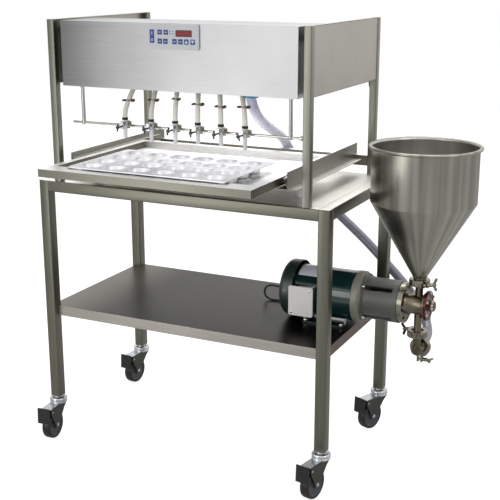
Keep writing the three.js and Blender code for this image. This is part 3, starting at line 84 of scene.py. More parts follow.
def route(points, steps):
    """A centripetal Catmull-Rom line through points: cubic pieces whose end slopes weigh the
    neighbouring chords by the square root of their length; steps samples to a piece."""
    p = np.asarray(points, float)
    p = np.vstack([2 * p[0] - p[1], p, 2 * p[-1] - p[-2]])
    gap = np.sqrt(np.linalg.norm(np.diff(p, axis=0), axis=1))[:, None]
    a, b, c, d = p[:-3], p[1:-2], p[2:-1], p[3:]
    g0, g1, g2 = gap[:-2], gap[1:-1], gap[2:]
    out = ((b - a) / g0 - (c - a) / (g0 + g1) + (c - b) / g1) * g1
    come = ((c - b) / g1 - (d - b) / (g1 + g2) + (d - c) / g2) * g1
    t = np.linspace(0, 1, steps, endpoint=False)[None, :, None]
    b, c, out, come = b[:, None], c[:, None], out[:, None], come[:, None]
    line = b + out * t + (3 * c - 3 * b - 2 * out - come) * t**2
    line = line + (2 * b - 2 * c + out + come) * t**3
    return np.vstack([line.reshape(-1, 3), p[-2]])


def grid(points, caps=(True, True), ring=False):
    """Points in rows and columns as one skin. Each column meets the next and the last meets the
    first; caps close the first and last row, or ring joins the last row to the first."""
    rows, columns = points.shape[:2]
    index = np.arange(rows * columns).reshape(rows, columns)
    lower = index if ring else index[:-1]
    upper = np.roll(index, -1, axis=0) if ring else index[1:]
    quads = np.stack([lower, np.roll(lower, -1, 1), np.roll(upper, -1, 1), upper], -1)
    chord = np.linalg.norm(np.diff(points, axis=0), axis=2).mean(1)
    along = np.append(0, np.cumsum(chord)) / 1000
    u = np.arange(columns) / columns
    v = along if ring else along[:-1]
    w = np.append(along[1:], along[-1] + 0.001) if ring else along[1:]
    corner = np.zeros(quads.shape + (2,))
    corner[:, :, 0, 0] = corner[:, :, 3, 0] = u[None]
    corner[:, :, 1, 0] = corner[:, :, 2, 0] = u[None] + 1 / columns
    corner[:, :, :2, 1] = v[:, None, None]
    corner[:, :, 2:, 1] = w[:, None, None]
    lids = [] if ring else [index[k] for k, wanted in ((0, caps[0]), (-1, caps[1])) if wanted]
    ends = [np.stack([u, np.full(columns, along[0 if lid[0] == 0 else -1])], -1) for lid in lids]
    return points.reshape(-1, 3), quads.reshape(-1, 4), corner.reshape(-1, 2), lids, ends


def pipe(line, radius, side, sides=24):
    """A round tube: at each point of the line, a circle across its direction. The circle starts
    square to a fixed side direction, so that it never twists."""
    line = np.asarray(line, float)
    ahead = np.gradient(line, axis=0)
    ahead /= np.linalg.norm(ahead, axis=1)[:, None]
    out = np.cross(ahead, side)
    out /= np.linalg.norm(out, axis=1)[:, None]
    up = np.cross(ahead, out)
    turn = np.linspace(0, 2 * np.pi, sides, endpoint=False)
    reach = np.broadcast_to(np.asarray(radius, float), len(line))[:, None, None]
    circle = out[:, None] * np.cos(turn)[None, :, None] + up[:, None] * np.sin(turn)[None, :, None]
    return grid(line[:, None] + reach * circle)


@contextlib.contextmanager
def reworked(mesh):
    """A mesh taken into bmesh to be worked on, and written back."""
    work = bmesh.new()
    work.from_mesh(mesh)
    yield work
    work.to_mesh(mesh)
    work.free()


def build(name, skins, finishes, body, stands_for=(), edge=0.0, crease=38):
    """One mesh piece from skins, each with the number of its finish. It is laid out in drawing
    millimetres, turned to the part's frame, and its sharp edges are rounded by edge."""
    points, faces, marks, corners, start = [], [], [], [], 0
    for (spots, quads, uv, lids, ends), mark in skins:
        points.append(spots)
        faces += (quads + start).tolist() + [(lid + start).tolist() for lid in lids]
        corners += [uv, *ends]
        marks += [mark] * (len(quads) + len(lids))
        start += len(spots)
    mesh = bpy.data.meshes.new(name)
    mesh.from_pydata(place(np.vstack(points)), [], faces)
    mesh.polygons.foreach_set("material_index", marks)
    mesh.uv_layers.new(name="UVMap").data.foreach_set("uv", np.vstack(corners).ravel())
    with reworked(mesh) as work:
        bmesh.ops.recalc_face_normals(work, faces=work.faces)
    return settle(mesh, name, finishes, body, stands_for, edge, crease)


def settle(mesh, name, finishes, body, stands_for, edge=0.0, crease=38):
    """A finished mesh made an object at the origin, smoothed, painted and set on its body."""
    mesh.shade_smooth()
    mesh.set_sharp_from_angle(angle=math.radians(crease))
    for material in finishes:
        mesh.materials.append(material)
    piece = bpy.data.objects.new(name, mesh)
    bpy.context.scene.collection.objects.link(piece)
    if edge:
        rounding = piece.modifiers.new("rounded edges", "BEVEL")
        rounding.width = edge / 1000
        rounding.segments = 2
        rounding.limit_method = "ANGLE"
        rounding.angle_limit = math.radians(crease)
        rounding.use_clamp_overlap = False
        rounding.harden_normals = True
    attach(piece, body)
    if stands_for:
        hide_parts(*stands_for)
    return piece


def ink(code):
    """A colour written as six hex digits, as linear light: the sRGB curve undone."""
    value = np.array([int(code[i : i + 2], 16) for i in (0, 2, 4)]) / 255
    linear = np.where(value < 0.04045, value / 12.92, ((value + 0.055) / 1.055) ** 2.4)
    return (*linear, 1.0)


def plugged(node, *ordered, **named):
    """A node with its inputs set, in order or by name with underscores for spaces: each to a
    value, or fed by a socket or by a node's first output. Small-letter names are settings."""
    for name in [name for name in named if name.islower()]:
        setattr(node, name, named.pop(name))
    for key, value in [*enumerate(ordered), *named.items()]:
        socket = node.inputs[key.replace("_", " ") if isinstance(key, str) else key]
        if isinstance(value, bpy.types.Node):
            value = value.outputs[0]
        if isinstance(value, bpy.types.NodeSocket):
            node.id_data.links.new(value, socket)
        else:
            socket.default_value = value
    return node


def wired(tree, kind, *ordered, **named):
    """A new node of a kind, set up in its tree."""
    return plugged(tree.nodes.new("ShaderNode" + kind), *ordered, **named)


noise_span = (0.3, 0.7)
rough_swing = 0.07
least_rough = 0.02
relief_depth = 0.0004


def finish(name, colour, rough, metal=0.0, stretch=(1, 1, 1), scale=60, tone=(0.93, 1.06),
           bump=0.05, drift=0.1, **own):
    """A procedural finish on Object coordinates. Fine noise, drawn out by stretch, shifts the
    colour between the two tones, the roughness and the relief; a broad one drifts the tone."""
    material = bpy.data.materials.new(name)
    material.use_nodes = True
    tree = material.node_tree
    where = wired(tree, "TexCoord").outputs["Object"]
    turn = wired(tree, "Mapping", Vector=where, Scale=stretch)
    fine = wired(tree, "TexNoise", Vector=turn, Scale=scale, Detail=5)
    broad = wired(tree, "TexNoise", Vector=where, Scale=4, Detail=3)
    level = wired(tree, "MapRange", fine, *noise_span, *tone)
    sway = wired(tree, "MapRange", broad, *noise_span, 1 - drift, 1 + drift)
    both = wired(tree, "Math", level, sway, operation="MULTIPLY")
    plugged(tree.nodes["Principled BSDF"], Metallic=metal, **own,
            Base_Color=wired(tree, "VectorMath", ink(colour)[:3], Scale=both, operation="SCALE",
                             name="tint"),
            Roughness=wired(tree, "MapRange", fine, To_Min=max(rough - rough_swing, least_rough),
                            To_Max=rough + rough_swing),
            Normal=wired(tree, "Bump", Strength=bump, Distance=relief_depth, Height=fine))
    return material


hose_radius = 16.5
hose_route = [
    (195, 150, 1304.6), (195, 150, 1296.6), (194.9, 151.3, 1278.7), (194.4, 155.4, 1261.2),
    (193.7, 162, 1244.5), (192.8, 171, 1228.9), (191.5, 182, 1214.7), (190.1, 194.5, 1201.8),
    (188.5, 208.1, 1190.2), (186.8, 222.7, 1179.8), (184.9, 237.9, 1170.3),
    (182.9, 253.6, 1161.7), (180.7, 269.6, 1153.9), (176, 302.4, 1139.9), (161.5, 385.8, 1110.5),
    (143.2, 469.5, 1084.4), (124.7, 553.1, 1058.2), (111.7, 632, 1018.7), (116.7, 694.2, 955.4),
    (149.6, 729.8, 881), (206.7, 738.5, 813.2), (275.8, 729.6, 757.1), (348.6, 712.5, 707.8),
    (420.6, 693.6, 658), (489.8, 674.7, 604.4), (558.8, 648.4, 553.9), (625.5, 607.1, 508),
    (682, 548.2, 467), (719.4, 471.7, 435.5), (732, 384, 425),
]

hose_line = route(hose_route, 12)


def toned(material, factor):
    """The finish's tint times one more factor."""
    tree = material.node_tree
    scale = tree.nodes["tint"].inputs["Scale"]
    product = wired(tree, "Math", scale.links[0].from_socket, factor, operation="MULTIPLY")
    tree.links.new(product.outputs[0], scale)


def fade(material, space, axis, span, levels):
    """The tint goes smoothly from one level to another between two places along an axis."""
    tree = material.node_tree
    parts = wired(tree, "SeparateXYZ", wired(tree, "TexCoord").outputs[space])
    toned(material, wired(tree, "MapRange", parts.outputs[axis], *span, *levels,
                          interpolation_type="SMOOTHSTEP"))


thread_span = (0.7, 0.98)


def braid(material, threads, pitch, light):
    """Crossing threads laid in the wall: two families of slanted lines in the tube's own map,
    one turn of the tube by one metre, drawn lighter where either family's wave peaks."""
    tree = material.node_tree
    parts = wired(tree, "SeparateXYZ", wired(tree, "UVMap", uv_map="UVMap"))
    round_rate = threads * 2 * math.pi
    waves = []
    for slant in (1, -1):
        across = wired(tree, "Math", parts.outputs["X"], round_rate, operation="MULTIPLY")
        slope = wired(tree, "Math", parts.outputs["Y"], slant * round_rate / pitch, across,
                      operation="MULTIPLY_ADD")
        waves.append(wired(tree, "Math", slope, operation="SINE"))
    peak = wired(tree, "Math", *waves, operation="MAXIMUM")
    toned(material, wired(tree, "MapRange", peak, *thread_span, 1.0, light))


hose_wall = finish("clear hose", "cfcde4", 0.28, scale=40, tone=(0.95, 1.05), bump=0.02,
                   Coat_Weight=0.3)
braid(hose_wall, 9, 0.033, 1.12)
fade(hose_wall, "UV", "Y", (0.45, 0.85), (1.25, 0.42))
hose = build("braided_supply_hose", [(pipe(hose_line, hose_radius, (0.6, 0.5, 0.62), 32), 0)],
             [hose_wall], "machine", ["supply_hose"])

cuff_blue = finish("blue cuff", "4cc2ea", 0.35, scale=50, tone=(0.96, 1.04), Coat_Weight=0.2)
cuff_profile = [(25, -10), (27.2, -8), (27.2, 8), (25, 10)]
cuff_middle = 1252


def laid(axis, one, two, along):
    """Places across and along an axis as points: X, Y and Z in their order."""
    order = {"x": (along, one, two), "y": (one, along, two), "z": (one, two, along)}
    return np.stack(order[axis], -1)


pole = 0.1


def lathe(profile, at, axis="z", sides=64, bore=pole):
    """A profile of radius against place along the axis, carried round it: each ring is
    (r cos a, r sin a) at even angles a. The profile's two ends are carried in to the bore, or
    to the axis in a solid piece; with no bore at all, the profile is closed on itself."""
    if bore:
        profile = [(bore, profile[0][1]), *profile, (bore, profile[-1][1])]
    reach, along = np.array(profile, float).T
    a = np.linspace(0, 2 * np.pi, sides, endpoint=False)
    spots = laid(axis, np.outer(reach, np.cos(a)), np.outer(reach, np.sin(a)),
                 np.outer(along, np.ones(sides)))
    return grid(spots + np.array(at, float), ring=bore != pole)


cuff_at = hose_line[np.argmin(np.abs(hose_line[:60, 2] - cuff_middle))]
cuff = build("hose_cuff", [(lathe(cuff_profile, (*cuff_at[:2], cuff_middle), bore=17.2), 0)],
             [cuff_blue], "machine")


# Motor cable. Black rubber of 7 mm, from the gland behind the motor, in a loop beside the fan
# cover, back along the shelf, up the rear leg and post, and forward to the gland behind the head.

cable_radius = 3.5
cable_route = [
    (321.7, 398, 541), (300, 398, 541.2), (235, 398.5, 543.6), (182, 399, 544.9),
    (161, 400, 544.9), (142, 400, 537), (134.1, 400, 518), (142, 400, 499), (161, 400, 492),
    (183, 401, 492), (320, 413, 492), (372, 436, 492), (420, 480, 492), (455, 535, 492),
    (466, 570, 492), (470, 588, 492), (474, 608, 500.5), (479, 617.5, 520), (486, 618.5, 545),
    (498, 618, 585), (508, 617, 640), (510, 616.5, 740), (508, 616.5, 840), (490, 617, 912),
    (466, 617, 972), (456, 617, 1050), (452, 617, 1160), (438, 617, 1225), (432, 617, 1250),
    (431, 616.4, 1268), (431, 607.5, 1285.5), (431, 590, 1292), (431, 570, 1289.5),
    (431, 530, 1280.5), (431, 480, 1277.2), (431, 380, 1277), (428, 318, 1279.5),
    (415, 268, 1286.3), (405.5, 238, 1290), (405, 222.3, 1290),
]
cable_line = route(cable_route, 10)
black_jacket = finish("cable jacket", "1b1c22", 0.5, scale=200, tone=(0.9, 1.2), bump=0.08)
cable = build("rubber_motor_cable", [(pipe(cable_line, cable_radius, (0.5, 0.62, 0.6), 16), 0)],
              [black_jacket], "machine", ["motor_cable"])


# Table. Welded 38 mm square stainless tube, ground and brushed along each tube, with a deck sheet
# let in between its top rails, ribs under the deck, and plugs in the legs for the casters' stems.


def rounded(u, v, radius, steps=5):
    """A rectangle between two values each way, with a quarter circle at each corner."""
    a = np.concatenate([np.linspace(0, np.pi / 2, steps) + k * np.pi / 2 for k in range(4)])
    right = np.repeat([1, 0, 0, 1], steps)
    top = np.repeat([1, 1, 0, 0], steps)
    across = np.where(right, u[1] - radius, u[0] + radius) + radius * np.cos(a)
    upward = np.where(top, v[1] - radius, v[0] + radius) + radius * np.sin(a)
    return np.stack([across, upward], -1)


def prism(outline, axis, span, hole=None):
    """A flat outline carried along an axis between two places; a hole with as many points makes
    it a tube. The outline lies in Y and Z for x, in X and Z for y, and in X and Y for z."""
    rings = [(outline, span[0]), (outline, span[1])]
    rings += [] if hole is None else [(hole, span[1]), (hole, span[0])]
    rows = [laid(axis, *flat.T, np.full(len(flat), at)) for flat, at in rings]
    return grid(np.stack(rows), ring=hole is not None)


def box(x, y, z):
    """A block between two values along each axis."""
    corners = np.array([(x[0], y[0]), (x[1], y[0]), (x[1], y[1]), (x[0], y[1])], float)
    return prism(corners, "z", z)


def around(middle, size):
    """The two ends of a size set about its middle."""
    return middle - size / 2, middle + size / 2


def square(x, y, size, radius):
    """A rounded square of a size about its middle."""
    return rounded(around(x, size), around(y, size), radius)


def brushed(name, grain, colour, rough=0.36, tone=(0.87, 1.1), bump=0.08):
    """Brushed stainless steel: the fine noise is drawn out fifty times along the grain."""
    stretch = [0.02 if axis == grain else 1.0 for axis in "xyz"]
    return finish(name, colour, rough, 1.0, stretch, 420, tone, bump, 0.06)


frame_steel = [brushed(f"frame steel along {grain}", grain, "747368") for grain in "xyz"]
# The deck's near white is painted top light and the underside's dark is painted shade, both on the
# frame's steel.
lit_deck_steel = brushed("deck steel, painted top light", "x", "fbf8f2", 0.4, (0.93, 1.05))
shaded_underside_steel = brushed("deck underside, painted shade", "x", "3d3b37", 0.6)
half_width = 533.4
table_depth = 609.6
table_top = 941.5
tube = 38.1
tube_wall = 1.6
tube_corner = 4
leg_bottom = 145
plug_top = 177
stem_hole = 11.5
leg_x = half_width - tube / 2
leg_y = (tube / 2, table_depth - tube / 2)
leg_spots = {f"{end}_{side}": (x, y) for end, y in zip(("front", "rear"), leg_y)
             for side, x in (("left", -leg_x), ("right", leg_x))}
table = []
for x, y in leg_spots.values():
    outer = square(x, y, tube, tube_corner)
    inner = square(x, y, tube - 2 * tube_wall, tube_corner - tube_wall)
    round_bore = square(x, y, 2 * stem_hole, stem_hole - 0.2)
    table += [(prism(outer, "z", (leg_bottom, table_top - 0.1), inner), 2),
              (prism(inner, "z", (table_top - 4, table_top - 0.4)), 0),
              (prism(inner, "z", (leg_bottom + 1, plug_top), round_bore), 1)]
rail_z = (table_top - tube, table_top)
for y in leg_y:
    section = rounded(around(y, tube), rail_z, tube_corner)
    table.append((prism(section, "x", around(0, 2 * (half_width - tube + 2))), 0))
for x in (-leg_x, leg_x):
    section = rounded(around(x, tube), rail_z, tube_corner)
    table.append((prism(section, "y", (tube - 2, table_depth - tube + 2)), 1))
deck_x = around(0, 2 * (half_width - tube + 1))
deck_y = (tube - 1, table_depth - tube + 1)
table.append((box(deck_x, deck_y, (table_top - 2, table_top - 0.2)), 3))
rib_x = 210
for x in (-rib_x, rib_x):
    table.append((box(around(x, 2), deck_y, (table_top - 25, table_top - 1)), 3))
shelf_tab_z = (481.7, 485.7)
for side in (-1, 1):
    tab_x = sorted((side * (half_width - tube + 0.8), side * (half_width - tube - 26)))
    table += [(box(tab_x, tab_y, shelf_tab_z), 0)
              for tab_y in ((22.5, tube), (table_depth - tube, 597.5))]
welded = build("welded_table", table, [*frame_steel, lit_deck_steel, shaded_underside_steel], "machine",
               ["table_frame"], 0.8)


def faces_of(mesh):
    """The directions and the middles of a mesh's faces, a row each."""
    found = []
    for what in ("normal", "center"):
        flat = np.empty(len(mesh.polygons) * 3)
        mesh.polygons.foreach_get(what, flat)
        found.append(flat.reshape(-1, 3))
    return found


def painted_light_faces(piece, number, above, way=1):
    """Faces that look up, or down where way is minus one, and lie above a height take another of
    the piece's finishes: a lighter one on upper faces as painted top light, and a darker one on
    undersides as painted shade."""
    polygons = piece.data.polygons
    facing, middle = faces_of(piece.data)
    marks = np.empty(len(polygons), int)
    polygons.foreach_get("material_index", marks)
    up = (way * facing[:, 2] > 0.9) & (middle[:, 2] * 1000 > above)
    polygons.foreach_set("material_index", np.where(up, number, marks))


# Upper faces at the top take the near-white finish, painted top light; faces looking down under
# the rails and deck take the dark one, painted shade.
painted_light_faces(welded, 3, table_top - 5)
painted_light_faces(welded, 4, table_top - tube - 5, -1)


# Lower shelf. One sheet folded down on its four sides and notched round the legs. Its top is
# brushed along its length and painted dark as shade, lighter to the left as a painted reflection;
# its folds carry a painted highlight, its right end a painted brown reflection.


def softened(name, node, edge, finishes, body, pick=None):
    """The node's own solid with its doubles merged, its flat faces joined and its edges rounded.
    pick gives each face's finish from the faces' directions and their middles."""
    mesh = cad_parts[node].data.copy()
    mesh.name = name
    with reworked(mesh) as work:
        bmesh.ops.remove_doubles(work, verts=work.verts, dist=1e-5)
        flat = math.radians(0.6)
        bmesh.ops.dissolve_limit(work, angle_limit=flat, verts=work.verts, edges=work.edges)
    mesh.materials.clear()
    facing, middle = faces_of(mesh)
    spot = (middle - front_middle) * 1000
    marks = np.zeros(len(spot), int) if pick is None else pick(facing, spot)
    mesh.polygons.foreach_set("material_index", marks)
    return settle(mesh, name, finishes, body, [node], edge)


# The shelf's dark top, its lighter left end, its bright folds and its brown right end are painted
# shade, painted reflection and painted highlight.
shelf_steel_shade_and_reflection = brushed("shelf steel, painted shade and reflection", "x", "3b3933", 0.36, (0.92, 1.06), 0.04)
fade(shelf_steel_shade_and_reflection, "Object", "X", (-0.7, -0.44), (4.2, 1.0))
highlit_shelf_edge = brushed("shelf edge steel, painted highlight", "x", "b4b0a8", 0.3)
brown_reflection_shelf_end = brushed("shelf end steel, painted brown reflection", "y", "6b5a52", 0.4)
softened("folded_shelf", "lower_shelf", 0.8, [shelf_steel_shade_and_reflection, highlit_shelf_edge, brown_reflection_shelf_end], "machine",
         lambda facing, spot: (facing[:, 2] < 0.5).astype(int)
         + (facing[:, 0] > 0.5))


# Casters. A bright zinc ball race and stem over a pressed fork, a rubber-tyred wheel on a hexagon
# bolt, and a black brake pedal that tips on a pin in front. Each stands turned its own way.


def moved(skin, by):
    """The skin shifted by a vector."""
    return (skin[0] + np.asarray(by, float), *skin[1:])


def swung(skin, about, degrees, axis="z"):
    """The skin turned about an axis through a point, by the plane's turning formula."""
    i, j = {"x": (1, 2), "y": (2, 0), "z": (0, 1)}[axis]
    c, s = math.cos(math.radians(degrees)), math.sin(math.radians(degrees))
    away = skin[0] - np.asarray(about, float)
    out = away.copy()
    out[:, i] = c * away[:, i] - s * away[:, j]
    out[:, j] = s * away[:, i] + c * away[:, j]
    return (out + about, *skin[1:])


zinc = finish("bright zinc", "c6c8cc", 0.25, 1.0, scale=160, tone=(0.9, 1.08), bump=0.1)
fork_steel = finish("pressed fork", "4c4e47", 0.36, 1.0, scale=120, tone=(0.9, 1.1), bump=0.1)
tyre = finish("tyre rubber", "1c1313", 0.42, scale=180, tone=(0.85, 1.2), bump=0.15)
wheel_disc = finish("wheel disc", "454a52", 0.4, scale=90, tone=(0.94, 1.06))
pedal_black = finish("pedal plastic", "0f1514", 0.42, scale=260, tone=(0.9, 1.15), bump=0.12)
caster_turns = {"front_left": 6.3, "front_right": -11.1, "rear_left": -4.4, "rear_right": -21.4}
race = [(9, 171.5), (11, 169.5), (11, 144.7), (18, 144.7), (19, 143.7), (19, 140.5), (22, 139.8),
        (28.5, 138), (31, 134.5), (31, 129), (29, 127.2), (29, 125.6), (30.8, 124), (30.8, 119.5),
        (28, 118)]
disc = [(12, -17), (14.5, -15.6), (15.2, -12.6), (33, -11.4), (37.5, -12.8), (39.8, -15.2)]
tread = [(39.5, -15.4), (46, -16), (48.4, -14.4), (49.8, -10.5), (50, -4)]
rivet = [(2.4, -20.9), (4, -20.2), (3, -20.1)]
disc, tread, rivet = (half + [(radius, -at) for radius, at in reversed(half)]
                      for half in (disc, tread, rivet))
fork_in, fork_out = 17.3, 20.3
wheel_at = (0, -50, 50)
pin_at = (0, -78, 107)
sole = np.linspace(0.9 * np.pi, 1.85 * np.pi, 14)
cheek = np.vstack([[(26, 121), (4, 121), (-88, 121), (-88, 102)],
                   np.stack([-50 + 14 * np.cos(sole), 50 + 14 * np.sin(sole)], -1),
                   [(-22, 66), (4, 98), (22, 112)]])
bolt_head = [(4.6, -24.3), (5, -23.9), (5, -22.6), (7.4, -22.6), (8.5, -21.6), (8.5, -17.4)]
fork = [(lathe(race, (0, 0, 0)), 0),
        (prism(rounded((-fork_out, fork_out), (-88, 26), 3), "z", (118, 121)), 0),
        (prism(cheek, "x", (-fork_out, -fork_in)), 1),
        (prism(cheek, "x", (fork_in, fork_out)), 1),
        (lathe(bolt_head, wheel_at, "x", 6), 0),
        (lathe([(radius, -at) for radius, at in bolt_head], wheel_at, "x", 6), 0),
        (lathe([(5, -18), (5, 18)], wheel_at, "x", 24), 0),
        (lathe(rivet, pin_at, "x", 24), 0)]
wheel = [(lathe(disc, wheel_at, "x", 72, 5.6), 0), (lathe(tread, wheel_at, "x", 72, None), 1)]
pad = np.array([(-104, 132), (-108, 132), (-111, 75), (-107, 75), (-104, 107)], float)
pedal = [(prism(pad, "x", (-24, 24)), 0),
         (box((-16.8, 16.8), (-104, -78), (107, 114)), 0),
         (lathe([(7, -16.8), (7, 16.8)], pin_at, "x", 32, 3.4), 0)]
for height in (84, 94, 104, 114, 124):
    back = -110.9 + 3 * (height - 75) / 57
    pedal.append((box((-21, 21), (back - 0.7, back + 1), around(height, 2.2)), 0))
for corner, (x, y) in leg_spots.items():
    def stood(skins):
        """Marked skins carried to this leg and turned with its caster."""
        return [(swung(moved(skin, (x, y, 0)), (x, y, 0), caster_turns[corner]), mark)
                for skin, mark in skins]

    build(f"fork_{corner}", stood(fork), [zinc, fork_steel], f"caster_{corner}",
          [f"caster_fork_{corner}"], 0.7)
    build(f"wheel_with_tyre_{corner}", stood(wheel), [wheel_disc, tyre], f"wheel_{corner}",
          [f"caster_wheel_{corner}"])
    build(f"pedal_plate_{corner}", stood(pedal), [pedal_black], f"pedal_{corner}",
          [f"brake_pedal_{corner}"], 0.9)


# Head posts. Two uprights of 25 mm square tube on each side, a folded end panel let in between
# them, and two stubs that carry the housing.

post_steel = [brushed(f"post steel along {grain}", grain, "87877d") for grain in "xyz"]
panel_steel = brushed("end panel steel", "z", "aeaaa2", 0.42, (0.93, 1.05))
post_tube = 25.4
post_wall = 1.5
post_corner = 2.6
post_out = 467.4
post_top = 1479
post_foot = 941.8
sheet_out = post_out - 2.4
sheet_bottom = 1271
upright = []
for y in (post_tube / 2, table_depth - post_tube / 2):
    outer = square(post_out - post_tube / 2, y, post_tube, post_corner)
    inner = square(post_out - post_tube / 2, y, post_tube - 2 * post_wall, 1.1)
    upright += [(prism(outer, "z", (post_foot, post_top - 0.1), inner), 2),
                (prism(inner, "z", (post_top - 3, post_top - 0.3)), 0)]
for x, z in ((around(sheet_out - 1, 2), (sheet_bottom, post_top)),
             ((post_out - 20, sheet_out), (sheet_bottom, sheet_bottom + 2)),
             ((post_out - 20, sheet_out), (post_top - 2, post_top))):
    upright.append((box(x, (post_tube + 0.2, table_depth - post_tube - 0.2), z), 3))
for share in (0.36, 0.82):
    stub = square(10 + share * 200, 1442, post_tube, post_corner)
    upright.append((prism(stub, "x", (421.3, sheet_out - 1)), 0))


def mirrored(skins):
    """Marked skins of the other hand: X turned to minus X."""
    return [((skin[0] * (-1, 1, 1), *skin[1:]), mark) for skin, mark in skins]


for word, skins in (("left", mirrored(upright)), ("right", upright)):
    build(f"posts_{word}", skins, [*post_steel, panel_steel], "machine",
          [f"side_frame_{word}"], 0.6)


# Head housing. A folded hood, open below, of bright sheet brushed along its length, with the
# black gland of the motor cable in its back.

housing_steel_painted_dim_left = brushed("housing steel, painted reflection darker to the left", "x", "a9a9aa", 0.34, (0.94, 1.05), 0.04)
# The hood's tint dims towards its left end: a painted reflection.
fade(housing_steel_painted_dim_left, "Object", "X", (-0.68, -0.36), (0.5, 1.0))
softened("folded_housing", "head_housing", 0.9, [housing_steel_painted_dim_left], "machine")
gland_black = finish("gland nylon", "1b1c1e", 0.45, scale=150, tone=(0.9, 1.15), bump=0.1)
gland = [(11, 209), (11, 213), (8, 213.5), (8, 219), (6.8, 222)]
build("head_cable_gland", [(lathe(gland, (405, 0, 1290), "y", 24, 4.3), 0)], [gland_black],
      "machine")


# Control panel. A pale moulded bezel in front of the hood, with raised keys, four lamps and a
# dark red display, and its box of electronics behind the sheet.

bezel_grey = finish("panel moulding", "dcdee2", 0.42, scale=120, tone=(0.98, 1.02), bump=0.03)
key_blue = finish("key blue", "2f4c98", 0.4, scale=90, tone=(0.95, 1.05), bump=0.03)
display_red = finish("display red", "8e0d16", 0.4, scale=30, tone=(0.85, 1.15), bump=0.01)
mark_white = finish("key mark", "f2f2f4", 0.5, scale=60, tone=(0.98, 1.01), bump=0.02)
box_black = finish("electronics box", "26272a", 0.5, scale=120, tone=(0.9, 1.1), bump=0.08)
panel_finishes = [bezel_grey, key_blue, display_red, mark_white, box_black]
bezel_front = 4
panel = [(prism(rounded((-88, 94), (1397, 1473), 5), "y", (bezel_front, 9.7)), 0),
         (prism(rounded((-75.7, 81.7), (1409.3, 1460.7), 3), "y", (9.5, 12.6)), 4),
         (prism(rounded((-83, 89), (1402, 1468), 3), "y", (12.3, 46.3)), 4)]


def key(x, z, mark, proud=0.7, corner=1.6):
    """A rounded key standing proud of the bezel's face."""
    return prism(rounded(x, z, corner), "y", (bezel_front - proud, bezel_front + 1)), mark


panel.append(key((-79, -63), (1415, 1456), 1))
panel += [key((left, left + 16), (1441, 1456), 1) for left in (-51, -29)]
panel += [key((left, left + 16), (1413, 1429), 1) for left in (-51, -31, 1, 22, 43, 65)]
panel += [key((13, 70), (1436, 1456), 4, 0.5), key((15.5, 67.5), (1438.5, 1453.5), 2, 0.8, 1)]
panel += [key((x, x + 3.6), (z, z + 3.6), 4, 0.5) for x in (-8, 2) for z in (1443, 1450)]
panel.append(key((-72.2, -69.8), (1440, 1450), 3, 0.9, 0.4))
mark_y = (3.1, 5)
panel.append((prism(rounded((-75, -67), (1421, 1429), 3.9), "y", mark_y,
                    rounded((-73.4, -68.6), (1422.6, 1427.4), 2.3)), 3))
for left, up in ((43, 1), (65, -1)):
    arrow = np.array([(left + 2.5, 1421 - 4.5 * up), (left + 13.5, 1421 - 4.5 * up),
                      (left + 8, 1421 + 5 * up)])
    panel.append((prism(arrow, "y", mark_y), 3))
for left, low in ((-51, 1441), (-29, 1441), (-51, 1413), (-31, 1413), (1, 1413), (22, 1413)):
    panel.append(key((left + 4, left + 12), (low + 6.7, low + 8.7), 3, 0.9, 0.5))
build("panel_with_keys", panel, panel_finishes, "machine", ["control_panel"],
      0.35)


# Manifold. A closed bright pipe along the head, with a barb for each soft tube, a bent inlet for
# the hose and two straps to the hood's back.

bright = brushed("bright pipe steel", "x", "cfcdc6", 0.24)
bright_z = brushed("bright rod steel", "z", "c4c3be", 0.22)
pipe_mid = (0, 90, 1350)
pipe_profile = [(22.5, -226), (25, -223.5), (25, 243.5), (22.5, 246)]
feed = [(lathe(pipe_profile, pipe_mid, "x", 72), 0)]
barb_spots = [8 + 74 * (k - 2.5) for k in range(6)]
barb = [(3.4, 1317), (3.9, 1319), (3.9, 1327)]
feed += [(lathe(barb, (x, 90, 0), "z", 24, 2.6), 1) for x in barb_spots]
bend = route([(195, 112, 1350), (195, 132, 1350), (195, 145.5, 1344), (195, 150, 1331),
              (195, 150, 1305.1)], 8)
feed.append((pipe(bend, 12.4, (1, 0, 0), 32), 1))
for share in (0.16, 0.5):
    x = -226 + share * 472
    feed += [(box(around(x, 3), (113, 207.7), (1335, 1365)), 1),
             (box((x, x + 30), (204.7, 207.7), (1335, 1365)), 1)]
build("manifold_pipe", feed, [bright, bright_z], "machine", ["manifold"], 0.5)


# Nozzle hanger. Two bright drop rods with a flange under the hood's top and two hexagon nuts each,
# and a round bar through their feet, with a stop at its right end.

bar_at = (0, 60, 1141)
bar = [(3.2, -420), (4, -419.2), (4, 416.2), (3.2, 417)]
stop = [(7.4, 412), (8, 412.6), (8, 416.4), (7.4, 417)]
drop = [(4.5, 1134), (6.25, 1136), (6.25, 1470), (9.5, 1470), (9.5, 1471.2), (16, 1471.2),
        (16, 1473.6)]
nut = [(9.4, -3), (10.2, -2.2), (10.2, 2.2), (9.4, 3)]
hanger = [(lathe(bar, bar_at, "x", 32), 0), (lathe(stop, bar_at, "x", 32, 4), 0)]
for x in (-378, 378):
    hanger.append((lathe(drop, (x, 60, 0), "z", 40), 1))
    hanger += [(lathe(nut, (x, 60, z), "z", 6, 6), 1) for z in (1262, 1462.5)]
build("drop_rods_and_bar", hanger, [bright, bright_z], "machine",
      ["nozzle_hanger"])


# Nozzles. Six moulded spouts, each in a bright holder block on the bar, with a black collar over
# the barb, a folded hook beside it and a pin. A black T-handled screw locks each block.

